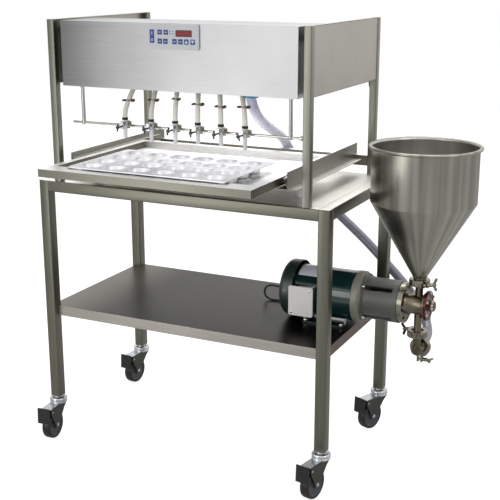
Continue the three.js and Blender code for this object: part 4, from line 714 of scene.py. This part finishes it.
spout_white = finish("spout plastic", "fdfdff", 0.4, scale=80, tone=(0.97, 1.02), bump=0.03)
holder_steel = finish("holder block", "cfd1d3", 0.3, 1.0, scale=180, tone=(0.9, 1.06))
hook_steel = finish("folded hook", "8d877b", 0.34, 1.0, scale=160, tone=(0.86, 1.1))
collar_black = finish("collar", "2a2622", 0.4, scale=140, tone=(0.85, 1.2), bump=0.1)
knob_black = finish("knob plastic", "15161a", 0.3, scale=160, tone=(0.9, 1.2), bump=0.08,
                    Coat_Weight=0.2)
nozzle_spots = [14 + 87.2 * share for share in (-2.5, -1.365, -0.344, 0.596, 1.537, 2.5)]
bar_height = bar_at[2]
tips = [bar_height - 42 * share for share in (0.905, 1.071, 1.024, 0.952, 0.905, 1.095)]
knob_turns = (6, -12, 14, 0, 2, -24)
collar = [(9.2, 1162), (10, 1163), (10, 1165), (9.5, 1165.6), (10, 1166.2), (10, 1169),
          (9.2, 1170)]
teat = [(3.9, 1169), (3.9, 1174), (3.2, 1176)]
hub = [(4.4, 1), (5.5, 2.2), (5.5, 8.6), (4.6, 10), (3, 10), (3, 55.6)]
handle_z = np.array([-13.5, -12.6, -10, -6, 0, 6, 10, 12.6, 13.5])
handle_thick = (0.6, 2.2, 2.9, 2.3, 2.6, 2.3, 2.9, 2.2, 0.6)
for number, (x, tip, tilt) in enumerate(zip(nozzle_spots, tips, knob_turns), 1):
    at, hub_at = (x, 42, 0), (x - 6, 0, bar_height)
    spout = [(5.4, tip), (6.5, tip + 2), (6.5, 1131), (8.5, 1133), (8.5, 1161.9)]
    bits = [(lathe(spout, at, "z", 40, 3.5), 0), (lathe(collar, at, "z", 40, 2.8), 1),
            (lathe(teat, at, "z", 24, 2.6), 0),
            (box((x - 13, x + 1), (28, 70), (1133, 1157)), 2),
            (prism(rounded((x, x + 18), (30, 54), 3), "z", (1148, 1157)), 3),
            (box((x + 15.4, x + 18), (31, 53), (1143, 1150)), 3),
            (lathe([(2, 0), (2, 17.4), (1.5, 18)], (x, 42, 1137), "x", 20), 3)]
    build(f"nozzle_assembly_{number}", bits, [spout_white, collar_black, holder_steel, hook_steel],
          "machine", [f"nozzle_{number}"], 0.8)
    handle = np.stack([np.full(9, x - 6), np.full(9, 5.5), bar_height + handle_z], -1)
    knob = [pipe(handle, handle_thick, (0, 1, 0), 20), lathe(hub, hub_at, "y", 32)]
    build(f"t_knob_{number}", [(swung(skin, hub_at, tilt, "y"), 0) for skin in knob],
          [knob_black], f"knob_{number}", [f"nozzle_knob_{number}"])


# Dispense tubes. Cream silicone of 16 mm, eased from each nozzle's barb to the manifold's, each
# pinched by a butterfly clamp: a plated band with a flat oval wing on either side.

silicone = finish("silicone", "fefbf0", 0.42, scale=50, tone=(0.95, 1.03), bump=0.02,
                  Specular_IOR_Level=0.3)
clamp_metal = finish("butterfly clamp", "a59c8c", 0.5, 0.8, scale=160, tone=(0.8, 1.2))
clamp_shares = (0.34, 0.38, 0.43, 0.35, 0.33, 0.35)
clamp_turns = (18, 0, -24, 8, -6, 14)
wing_tilt = 31
band = [(9, -2.5), (9.6, -2), (9.6, 2), (9, 2.5)]
turn = np.linspace(0, 2 * np.pi, 32, endpoint=False)
wing = np.stack([14.2 + 8 * np.cos(turn), 7.4 * np.sin(turn)], -1)
for number, (x, top_x, share, yaw) in enumerate(
        zip(nozzle_spots, barb_spots, clamp_shares, clamp_turns), 1):
    t = np.linspace(0, 1, 41)[:, None]
    low, high = np.array([x, 42, 1170.3]), np.array([top_x, 90, 1324.7])
    rise = np.array([0, 0, 0.36 * (high[2] - low[2])])
    line = ((1 - t) ** 3 * low + 3 * (1 - t) ** 2 * t * (low + rise)
            + 3 * (1 - t) * t**2 * (high - rise) + t**3 * high)
    travel = np.append(0, np.cumsum(np.linalg.norm(np.diff(line, axis=0), axis=1)))
    nip = share * travel[-1]
    grip = np.array([np.interp(nip, travel, line[:, k]) for k in range(3)])
    pinch = 1 - 0.16 * np.exp(-(((travel - nip) / 6) ** 2))
    skins = [(pipe(line, 8 * pinch, (1, 0, 0), 32), 0), (lathe(band, grip, "z", 40, 6.6), 1)]
    for side in (-1, 1):
        leaf = prism(wing * (side, 1), "z", (-0.9, 0.9))
        leaf = moved(swung(leaf, (0, 0, 0), wing_tilt + 10 * side, "x"), grip)
        skins.append((swung(leaf, grip, yaw), 1))
    build(f"silicone_tube_{number}", skins, [silicone, clamp_metal], "machine",
          [f"dispense_tube_{number}"], 0.4)


# Slide rails. Folded sheet uprights with a channel on the inside of each for the carriage's bars,
# cone feet in front and a box tube across the back.

rail_steel = [brushed(f"rail steel along {grain}", grain, "86857b") for grain in "xyz"]
foot_white = finish("foot plastic", "dedfe4", 0.4, scale=160, tone=(0.95, 1.04), bump=0.06)
# The near-white rail top finish is painted top light on the rails' steel.
lit_rail_top = brushed("rail top steel, painted top light", "y", "f6f4ef", 0.4, (0.94, 1.04), 0.04)
beam_out = rounded((584.2, 609.6), (970, 1007), 3)
beam_in = rounded((585.8, 608), (971.6, 1005.4), 1.4)
rails = [(prism(beam_out, "x", (-441.7, 441.7), beam_in), 0)]
one_rail = [(box((393, 395), (0, 584.1), (991, 1046)), 1),
            (box((393, 395), (584.1, 609.5), (1007.2, 1046)), 1),
            (box((361, 425), (0, 585), (991, 993)), 1),
            (box((381, 394), (4, 564.2), (1003.5, 1005.5)), 1),
            (box((381, 394), (4, 564.2), (1026, 1028)), 1),
            (lathe([(13, 941.8), (14, 943), (22, 972), (20, 973.3), (6, 973.3), (6, 992)],
                    (381, 130, 0), "z", 40), 3)]
rails += one_rail + mirrored(one_rail)
slide = build("rails_and_beam", rails, [*rail_steel, foot_white, lit_rail_top], "machine",
              ["slide_frame"], 0.45)
# Upward faces higher than 980 mm take the rail top finish: painted top light.
painted_light_faces(slide, 4, 980)


# Pan carriage. A sliding frame of folded channel with a floor let in, a front ledge and a bar on
# each side; its upper faces are painted almost white: painted top light.

carriage_steel = brushed("carriage steel", "x", "77766c")
lit_carriage_top = brushed("carriage top steel, painted top light", "y", "fdfcfa", 0.4, (0.95, 1.04), 0.04)


def lit_faces(facing, spot):
    """The faces that look up, and those that look forward inside the rear half, take the
    near-white finish, which is painted light on the same steel."""
    back_wall = (facing[:, 1] < -0.5) & (spot[:, 1] > 180)
    return ((facing[:, 2] > 0.5) | back_wall).astype(int)


softened("carriage_frame", "pan_carriage", 0.5, [carriage_steel, lit_carriage_top], "carriage",
         lit_faces)


# Muffin pan. Pressed tinned sheet with six rows of four cups and a turned-down rim.

pan_tin = finish("tinned sheet", "f4f4f7", 0.4, 0.85, scale=45, tone=(0.96, 1.03), bump=0.04)
pan_centre = np.array([-12, 8.5])
pan_half = np.array([280, 177.5])
pitch = np.array([88, 84])
pan_level = 1036
cup_rings = [(37.6, 0), (36.4, -0.35), (35.8, -1.3), (33.4, -9), (30.6, -19), (28.6, -25.6),
             (27.4, -28.4), (24.8, -29.6), (18, -29.7), (6, -29.7), (0.5, -29.7)]


def sides_of(across, upward):
    """The front, right, back and left side of a square from minus one to one each way, each as
    evenly spaced points up to its next corner."""
    u = np.arange(across) / across * 2 - 1
    v = np.arange(upward) / upward * 2 - 1
    one, other = np.ones(across), np.ones(upward)
    return [np.stack([u, -one], -1), np.stack([other, v], -1), np.stack([-u, one], -1),
            np.stack([-other, -v], -1)]


def cell(middle):
    """One cup in its rectangle: the cell's outline, then circles at the same bearings."""
    front, *others = sides_of(12, 12)
    edge = np.vstack([*others, front]) * pitch / 2
    bearing = np.arctan2(edge[:, 1], edge[:, 0])
    rows = [np.column_stack([edge, np.zeros(48)])]
    rows += [np.stack([r * np.cos(bearing), r * np.sin(bearing), np.full(48, z)], -1)
             for r, z in cup_rings]
    return grid(np.stack(rows) + np.append(middle, pan_level), caps=(False, True))


def rim_of_pan():
    """The pan's border: the cups' outline carried out to a rounded rectangle and turned down."""
    half = pitch * (6, 4) / 2
    edge = np.vstack(sides_of(6 * 12, 4 * 12)) * half
    rows = [np.column_stack([edge, np.zeros(len(edge))])]
    for inset, drop in ((4.5, 0), (2.6, 0.1), (1.0, -0.5), (0, -1.8), (0, -4)):
        reach = pan_half - inset
        radius = 14 - inset
        spread = edge / half * reach
        core = np.clip(spread, -(reach - radius), reach - radius)
        away = spread - core
        away *= radius / np.maximum(np.linalg.norm(away, axis=1), 1e-6)[:, None]
        rows.append(np.column_stack([core + away, np.full(len(edge), drop)]))
    return grid(np.stack(rows) + np.append(pan_centre, pan_level), caps=(False, False))


def sheet_metal(name, skins, material, body, stands_for, wall):
    """Open skins merged into one sheet that faces up, then given its wall below by Solidify."""
    piece = build(name, [(skin, 0) for skin in skins], [material], body, stands_for)
    with reworked(piece.data) as work:
        bmesh.ops.remove_doubles(work, verts=work.verts, dist=2e-5)
        bmesh.ops.recalc_face_normals(work, faces=work.faces)
        if sum(face.normal.z * face.calc_area() for face in work.faces) < 0:
            bmesh.ops.reverse_faces(work, faces=work.faces)
    wall_of = piece.modifiers.new("wall", "SOLIDIFY")
    wall_of.thickness = wall / 1000
    wall_of.offset = -1
    return piece


cells = [cell(pan_centre + pitch * (i - 2.5, j - 1.5)) for i in range(6) for j in range(4)]
sheet_metal("pressed_pan", [*cells, rim_of_pan()], pan_tin, "pan", ["muffin_pan"],
            0.9)


# Motor. A glossy dark teal barrel on a welded foot, its cast mounting face in beige grey, with a
# gland block behind it and four lugs that the fan cover slips over.

shaft_at = (0, 300, 586)
shaft_z = shaft_at[2]


def arc(profile, at, axis, first, last, steps):
    """A closed profile of radius against place along the axis, carried round it between two
    angles in degrees, and closed at both ends."""
    reach, along = np.array(profile, float).T
    a = np.radians(np.linspace(first, last, steps))
    spots = laid(axis, np.outer(np.cos(a), reach), np.outer(np.sin(a), reach),
                 np.outer(np.ones(steps), along))
    return grid(spots + np.array(at, float))


def ringed(skin, mark, count, start=0):
    """Marked copies of a skin, set evenly round the shaft."""
    return [(swung(skin, shaft_at, start + 360 * k / count, "x"), mark) for k in range(count)]


teal = finish("motor enamel", "12302f", 0.14, scale=40, tone=(0.9, 1.12), bump=0.03,
              Coat_Weight=0.8)
face_grey = finish("cast face", "98968a", 0.5, 0.3, scale=90, tone=(0.92, 1.06), bump=0.12)
bolt_bright = finish("bolt head", "d6d4cc", 0.22, 1.0, scale=200, tone=(0.9, 1.08))
barrel = [(78, 318), (83, 320), (84.5, 323), (84.5, 329), (83.7, 330), (83.7, 513), (84.5, 514),
          (84.5, 524.8)]
face = [(84.5, 525), (86, 526.5), (86, 546.6), (84.6, 548), (81, 548.4), (81, 552), (80, 553)]
web = np.array([(252, 492), (348, 492), (334, 545), (266, 545)])
motor = [(lathe(barrel, shaft_at, "x", 96, 12.5), 0), (lathe(face, shaft_at, "x", 96, 12.6), 1),
         (prism(rounded((348, 500), (232, 368), 8), "z", (488.3, 493.3)), 0),
         *[(prism(web, "x", (x, x + 7)), 0) for x in (348, 493)]]
head = [(9, 493), (9, 494.4), (6.6, 494.8), (6.6, 499), (5.8, 500)]
motor += [(lathe(head, (x, y, 0), "z", 6), 2) for x in (360, 488) for y in (241, 359)]
motor += ringed(box((318.2, 322), (293, 307), (shaft_z + 60, shaft_z + 93)), 0, 4, 45)
motor += [(box((341, 399), (205.8, 259), (545, 618)), 0),
          (prism(rounded((341, 406), (530, 552), 3), "x", (340, 370)), 0),
          (lathe([(7.4, 322), (8, 323), (8, 330), (9.6, 330.6), (9.6, 337), (8, 338), (8, 341)],
                 (0, 398, 541), "x", 24, 4), 3)]
build("motor_barrel", motor, [teal, face_grey, bolt_bright, gland_black], "machine",
      ["motor"], 0.7)
plate_white = finish("bare rating plate", "e6e6f2", 0.35, scale=60, tone=(0.97, 1.03))
plate = [(83.9, 331), (85, 331), (85, 408), (83.9, 408)]
build("bare_rating_plate", [(arc(plate, shaft_at, "x", 94, 131, 20), 0)], [plate_white],
      "machine")


# Fan cover. A pressed dark green-grey cup over the fan, open at its middle, with rings of slots.

cover_enamel = finish("fan cover enamel", "2b3834", 0.38, scale=70, tone=(0.92, 1.1), bump=0.08,
                      Coat_Weight=0.2)
# The slots are thin dark patches on the cup's face: painted shade standing for open slots. The
# same near-black fills the band between the conduit box's lid and box.
slot_shade_and_joint_black = finish("vent shade and joint black", "0a0c0c", 0.7, scale=80, tone=(0.9, 1.1))
cup = [(20, 270), (69, 270), (79, 271.2), (87, 274.5), (93.5, 280.5), (96.4, 287), (97, 293),
       (97, 322), (95, 322), (95, 293), (94, 287), (90, 280.5), (83, 275.5), (73, 272.2),
       (20, 272)]
cowl = [(lathe(cup, shaft_at, "x", 96, None), 0)]
for count, low, high in ((12, 26, 42), (20, 47, 62)):
    vent = box((269.6, 270.5), (297.6, 302.4), (shaft_z + low, shaft_z + high))
    cowl += ringed(vent, 1, count)
cowl += ringed(lathe([(3, 97.9), (4.4, 96.8), (4.4, 95)], (317, 300, shaft_z), "z", 20), 0, 4, 45)
build("fan_cowl", cowl, [cover_enamel, slot_shade_and_joint_black], "machine",
      ["fan_cover"], 0.3)


# Conduit box. A dark enamelled box on the motor's near side under an ivory lid with two screws in
# opposite corners.

lid_ivory = finish("lid ivory", "f6f4f0", 0.36, scale=70, tone=(0.97, 1.02), bump=0.04)
box_x, box_z = (327, 413), (531, 632)
wiring = [(prism(rounded(box_x, box_z, 7), "y", (170, 176)), 0),
          (prism(rounded((329, 411), (533, 630), 6), "y", (175.6, 177.4)), 2),
          (prism(rounded((328.4, 411.6), (532.4, 630.6), 6), "y", (177.2, 205.4)), 1)]
screw = [(3.4, 168.9), (4.6, 169.8), (4.6, 172)]
wiring += [(lathe(screw, (x, 0, z), "y", 24), 3) for x, z in ((402, 621), (338, 542))]
build("wiring_box", wiring, [lid_ivory, teal, slot_shade_and_joint_black, bolt_bright], "machine",
      ["conduit_box"], 0.9)


# Lantern. The cast grey cylinder between motor and pump, with four long slots over the coupling,
# a flange held to the motor by bright bolts, and a plate that takes the pump.

lantern_grey = finish("lantern casting", "6d6e69", 0.42, 0.4, scale=120, tone=(0.9, 1.08),
                      bump=0.14)
flange = [(79, 553.3), (80, 554.3), (80, 558.6), (79, 559.3), (71.5, 559.3), (70, 560.5),
          (70, 565.3)]
nose = [(63, 669.3), (63, 657.3), (70, 657.3), (70, 675.4), (69, 676.3)]
lantern = [(lathe(flange, shaft_at, "x", 96, 63), 0), (lathe(nose, shaft_at, "x", 96, 12.5), 0)]
wall = [(63, 565.3), (70, 565.3), (70, 657.3), (63, 657.3)]
window = 7.6
for left in (45, 135, 225, 315):
    lantern.append((arc(wall, shaft_at, "x", left + window, left + 90 - window, 24), 0))
head = [(5, 566.6), (6, 565.6), (6, 559)]
lantern += ringed(lathe(head, (0, 300, shaft_z + 75), "x", 24), 1, 4, 45)
build("lantern_casting", lantern, [lantern_grey, bolt_bright], "machine",
      ["lantern"])

shaft_steel = finish("shaft steel", "bcbab2", 0.28, 1.0, scale=140, tone=(0.9, 1.08))
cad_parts["drive_shaft"].data.materials.clear()
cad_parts["drive_shaft"].data.materials.append(shaft_steel)


# Pump. A turned back plate with a bright rim, a cast bronze-brown body with a front flange, and a
# sanitary pipe through it, with a clamp ferrule at the top and at the bottom.

pump_cast = finish("pump casting", "7a7263", 0.3, 1.0, scale=110, tone=(0.88, 1.1), bump=0.12)
rim_bright = finish("turned rim", "8d8a7d", 0.2, 1.0, scale=200, tone=(0.92, 1.06))
disc_dark = finish("pump plate face", "4a4238", 0.3, 1.0, scale=120, tone=(0.85, 1.15), bump=0.1)
port = (732.6, 300, 0)
rim_ring = [(66, 676.7), (67, 677.7), (67, 692.6), (66, 693.6), (62, 693.6), (62, 690)]
inset = [(61.9, 689), (61.9, 692.6), (44, 693.2)]
barrel = [(38, 693.3), (34.4, 697), (33, 701), (33, 747), (35, 751.4), (41, 752), (42, 753),
          (42, 757.6), (41, 758.6)]
riser = [(24.6, 487.7), (25.2, 488.4), (25.2, 492.6), (17, 495), (13.6, 497.5), (12.7, 501),
         (12.7, 650), (13.6, 653.4), (17, 655.6), (25.2, 658), (25.2, 662.2), (24.6, 662.8)]
pump = [(lathe(rim_ring, shaft_at, "x", 96, 12.6), 1), (lathe(inset, shaft_at, "x", 96, 12.7), 2),
        (lathe(barrel, shaft_at, "x", 72, 23), 0), (lathe(riser, port, "z", 56, 11), 0)]
head = [(4, 699), (5, 697.8), (5, 693)]
pump += ringed(lathe(head, (0, 300, shaft_z + 53), "x", 6), 1, 6, 30)
build("gear_pump", pump, [pump_cast, rim_bright, disc_dark], "machine",
      ["pump_body"])


# Pump cover and its knob. A polished round cover on the pump's flange, held by a stud on which
# the fluted knob turns.

polished = finish("polished steel", "b9b4aa", 0.12, 1.0, scale=90, tone=(0.85, 1.1), bump=0.03)
# The cover's dark red is a painted reflection on polished steel.
red_reflection = finish("polished steel, painted red reflection", "593331", 0.2, 1.0, scale=30, tone=(0.5, 1.6), bump=0.04,
               drift=0.4)
lid = [(48.5, 758.9), (49.5, 759.9), (49.5, 767.6), (48, 768.9), (34, 768.9), (33, 768.2),
       (24, 768.2), (23, 768.9)]
stud = [(5, 759), (5, 781.8), (4, 782.9)]
cover = [(lathe(lid, shaft_at, "x", 96, 5), 0), (lathe(stud, shaft_at, "x", 32), 1)]
head = [(2.5, 775.4), (4.6, 773.6), (5, 769)]
cover += ringed(lathe(head, (0, 300, shaft_z + 42), "x", 6), 1, 6)
build("pump_lid", cover, [red_reflection, polished], "machine", ["pump_cover"])


def fluted(sides=96):
    """The knob: rings whose radius dips eight times round, by the sixth power of a cosine."""
    a = np.linspace(0, 2 * np.pi, sides, endpoint=False)
    dip = 1 - 0.2 * np.cos(4 * a) ** 6
    rings = [(5.6, 786.2, 0), (10, 786.2, 0), (15, 785.6, 1), (18.2, 783.6, 1), (19, 780.5, 1),
             (19, 774, 1), (17.6, 770.6, 1), (14, 769.3, 0), (5.6, 769.3, 0)]
    reach, along, cut = np.array(rings, float).T[:, :, None]
    r = reach * np.where(cut > 0, dip[None], 1)
    spots = np.stack([along + 0 * r, 300 + r * np.cos(a), shaft_z + r * np.sin(a)], -1)
    return grid(spots, ring=True)


# The knob's end ring takes the same painted red reflection.
knob_end = [(14.6, 784), (15.4, 786.2), (14.6, 787)]
build("fluted_knob", [(fluted(), 0), (lathe(knob_end, shaft_at, "x", 64, 5.7), 1)],
      [polished, red_reflection], "pump_cover_knob", ["cover_knob"])


# Hopper. A spun stainless bowl with a rolled rim on a long cone, polished round and round, with a
# clamp ferrule at its throat.

# Both finishes are streaked lighter and darker round the bowl by noise across the angle in the
# bowl's own map: painted reflections drawn along the cone.
hopper_out = finish("spun steel outside, painted reflection streaks", "a3a197", 0.3, 1.0, (22, 0.5, 1), 1.4, (0.62, 1.3), 0.0,
                    0.04, Anisotropic=0.7)
hopper_in = finish("spun steel inside, painted reflection streaks", "c6c5c0", 0.3, 1.0, (14, 0.5, 1), 1.2, (0.75, 1.15), 0.0,
                   0.04, Anisotropic=0.5)
for material in (hopper_out, hopper_in):
    tree = material.node_tree
    plugged(tree.nodes["Mapping"], wired(tree, "UVMap", uv_map="UVMap"))
    plugged(tree.nodes["Principled BSDF"],
            Tangent=wired(tree, "Tangent", direction_type="UV_MAP", uv_map="UVMap"))
outside = [(11, 663.2), (24.6, 663.2), (25.2, 663.8), (25.2, 667.6), (17, 669.6), (14.4, 672),
           (20.4, 676), (20.4, 677), (94, 802.4), (167, 927), (168, 930), (168, 1098.4),
           (172.9, 1098.2)]
lip = np.radians(np.linspace(-90, 90, 9))
outside += [(172.9 + 4.9 * math.cos(v), 1103.1 + 4.9 * math.sin(v)) for v in lip]
inside = [(166.8, 1106.8), (166.8, 1098), (166.8, 930.4), (165.8, 927.6), (93, 803.4),
          (19, 677.8), (11, 674)]
sides = 160
spots, quads, corner, lids, ends = lathe(outside + inside, port, "z", sides, None)
facing_in = np.arange(len(quads)) >= len(outside) * sides
corner = corner.reshape(-1, 4, 2)
hopper = [((spots, quads[side], corner[side].reshape(-1, 2), lids, ends), mark)
          for mark, side in enumerate((~facing_in, facing_in))]
sheet = build("cone_hopper", hopper, [hopper_out, hopper_in], "machine",
              ["hopper"], crease=30)
with reworked(sheet.data) as work:
    bmesh.ops.remove_doubles(work, verts=work.verts, dist=1e-6)
    loose = [spot for spot in work.verts if not spot.link_faces]
    bmesh.ops.delete(work, geom=loose, context="VERTS")
    bmesh.ops.recalc_face_normals(work, faces=work.faces)


# Pipe clamps and their wing nuts. Cast and polished hinged rings round each pair of ferrules, with
# lugs, a swing bolt and a wing nut that turns on it.

clamp_steel = finish("clamp casting", "8b8578", 0.18, 1.0, scale=70, tone=(0.6, 1.3), bump=0.1,
                     drift=0.25)


def carried(skin, at, x_to, y_to):
    """The skin carried to a place, its X and Y turned to two directions."""
    turn = np.array([x_to, y_to, np.cross(x_to, y_to)], float)
    return (skin[0] @ turn + np.asarray(at, float), *skin[1:])


ring = [(20, -10.9), (31.6, -10.9), (34, -9), (34, 9), (31.6, 10.9), (20, 10.9), (20, 6.9),
        (25.9, 6.9), (25.9, -6.9), (20, -6.9)]
lug_flat = rounded((29.9, 53), (-7, 7), 4)
bolt_spot = (43.5, 0, 0)
clamp_bits = [(arc(ring, (0, 0, 0), "z", 5, 355, 64), 0),
              (prism(lug_flat, "y", (-9.5, -2.5)), 0),
              (prism(lug_flat, "y", (2.5, 9.5)), 0),
              (prism(rounded((-40, -29.9), (-11, 11), 3), "z", (-7, 7)), 0),
              (lathe([(3.4, -9), (3.4, 9)], (-36.5, 0, 0), "z", 20), 0),
              (lathe([(2.6, -38.5), (3, -38), (3, 9.4)], bolt_spot, "y", 20), 0)]
nut_hub = [(4.8, -36.6), (5.6, -34), (6.5, -18), (6.5, -10.6), (5.8, -9.9)]
blade = np.array([(0, -36), (6, -37), (14, -41.4), (20, -41.6), (22, -38.6), (20, -34),
                  (12, -30.6), (0, -24)], float)
nut_bits = [(lathe(nut_hub, bolt_spot, "y", 32, 3.4), 0)]
nut_bits += [(prism(blade * (flip, 1) + (bolt_spot[0], 0), "z", (-2, 2)), 0) for flip in (1, -1)]


def level(bearing):
    """A level direction at a bearing in degrees from X towards Y."""
    return math.cos(math.radians(bearing)), math.sin(math.radians(bearing)), 0


for word, at, x_to, y_to, wing_turn in (
        ("hopper", (732.6, 300, 663), level(-50), level(-140), 90),
        ("outlet", (732.6, 300, 487.5), level(120), level(30), 45),
        ("hose", (732.6, 344, 425), (0, 0, -1), (-1, 0, 0), 90)):
    build(f"hinged_clamp_{word}",
          [(carried(skin, at, x_to, y_to), mark) for skin, mark in clamp_bits],
          [clamp_steel], "machine", [f"{word}_clamp"], 1.1)
    build(f"wing_nut_{word}",
          [(carried(swung(skin, bolt_spot, wing_turn, "y"), at, x_to, y_to), mark)
           for skin, mark in nut_bits],
          [clamp_steel], f"{word}_nut", [f"{word}_wing_nut"], 0.6)


# Outlet elbow and hose barb. A dark polished cast bend under the pump, and the turned barb behind
# it that the hose is pushed over.

elbow_dark = finish("elbow casting", "66624f", 0.2, 1.0, scale=60, tone=(0.7, 1.3), bump=0.1,
                    drift=0.25)
top_ferrule = [(24.6, 487.3), (25.2, 486.6), (25.2, 482.4), (17, 480), (13.6, 477.4), (12.7, 474),
               (12.7, 462)]
turn_line = route([(732.6, 300, 470), (732.6, 300, 447), (732.6, 302.5, 433), (732.6, 312, 426),
                   (732.6, 326, 425), (732.6, 336, 425)], 8)
along = np.linspace(0, 1, len(turn_line))
swell = 13 + 9 * np.exp(-(((along - 0.5) / 0.22) ** 2))
back_ferrule = [(24.6, 343.8), (25.2, 343.1), (25.2, 339), (17, 336.6), (13.6, 334), (12.7, 330)]
elbow = [(lathe(top_ferrule, port, "z", 56, 11), 0), (pipe(turn_line, swell, (1, 0, 0), 48), 0),
         (lathe(back_ferrule, (port[0], 0, 425), "y", 56, 11), 0)]
build("cast_elbow", elbow, [elbow_dark], "machine", ["outlet_elbow"])
tail = [(24.6, 344.2), (25.2, 344.9), (25.2, 349), (17, 351.4), (16.4, 352), (16.4, 363),
        (13.4, 364), (15.4, 368), (13.2, 369), (14.8, 373), (12.6, 374), (12.6, 376.4)]
build("barbed_tail", [(lathe(tail, (port[0], 0, 425), "y", 56, 9.7), 0)], [polished],
      "machine", ["hose_barb"])


# Studio. A plain pale floor that fades into a white surround, and four soft lamps.

ground = bpy.data.meshes.new("floor")
ground.from_pydata([(-9, -9, 0), (9, -9, 0), (9, 9, 0), (-9, 9, 0)], [], [(0, 1, 2, 3)])
floor = bpy.data.objects.new("floor", ground)
bpy.context.scene.collection.objects.link(floor)
floor_pale = finish("floor", "a8a8a8", 0.8, scale=8, tone=(0.995, 1.0), bump=0.0, drift=0.0)
ground.materials.append(floor_pale)

world = bpy.data.worlds.new("surround")
bpy.context.scene.world = world
bpy.context.scene.view_settings.view_transform = "Standard"
world.use_nodes = True
sky = world.node_tree.nodes["Background"]
sky.inputs["Color"].default_value = (1, 1, 1, 1)


def seen_level(tree, hidden, shown, in_gloss):
    """One level for what the eye sees, straight or through something clear, another for the
    light that falls on the object, and a third for what a gloss sees."""
    path = wired(tree, "LightPath").outputs
    seen = wired(tree, "Math", path["Is Camera Ray"], path["Is Transmission Ray"],
                 operation="MAXIMUM")
    level = wired(tree, "MapRange", seen, To_Min=hidden, To_Max=shown)
    return wired(tree, "Mix", data_type="FLOAT", Factor=path["Is Glossy Ray"], A=level, B=in_gloss)


def room(tree):
    """The room as a gloss sees it: white overhead and behind the object's right, and dimmer to
    the left and in front, by how far the direction leans each way."""
    parts = wired(tree, "SeparateXYZ", wired(tree, "TexCoord").outputs["Generated"]).outputs
    dim = 0.36
    left, front, below, above = (
        wired(tree, "MapRange", parts[axis], low, high, dim, interpolation_type="SMOOTHSTEP")
        for axis, low, high in (("X", -0.5, -0.36), ("Y", -0.6, 0.3), ("Z", -0.5, -0.12),
                                ("Z", 0.0, 0.25)))
    darkest = wired(tree, "Math", left, front, operation="MINIMUM")
    darkest = wired(tree, "Math", darkest, below, operation="MINIMUM")
    return wired(tree, "Math", darkest, above, operation="MAXIMUM")


sky_light = 0.5
floor_level = 0.86
floor_in_gloss = 0.26
plugged(sky, Strength=seen_level(world.node_tree, sky_light, 1.0, room(world.node_tree)))
plugged(floor_pale.node_tree.nodes["Principled BSDF"], Emission_Color=(1, 1, 1, 1),
        Emission_Strength=seen_level(floor_pale.node_tree, 0.0, floor_level, floor_in_gloss))


def lamp(name, spot, aim, size, power):
    """A square area lamp at a spot, turned so that its face looks at its aim."""
    light = bpy.data.lights.new(name, "AREA")
    light.size = size
    light.energy = power
    holder = bpy.data.objects.new(name, light)
    holder.location = place(spot)
    away = holder.location - type(holder.location)(place(aim))
    holder.rotation_euler = away.to_track_quat("Z", "Y").to_euler()
    bpy.context.scene.collection.objects.link(holder)


lamp("front softbox", (-1000, -3000, 1400), (0, 200, 900), 1.6, 16)
lamp("top softbox", (-300, 1200, 3200), (0, 300, 900), 2.4, 45)
lamp("right softbox", (2900, -600, 1900), (300, 300, 800), 0.8, 6)
lamp("left strip", (-1150, -2160, 450), (560, 300, 950), 0.5, 5)
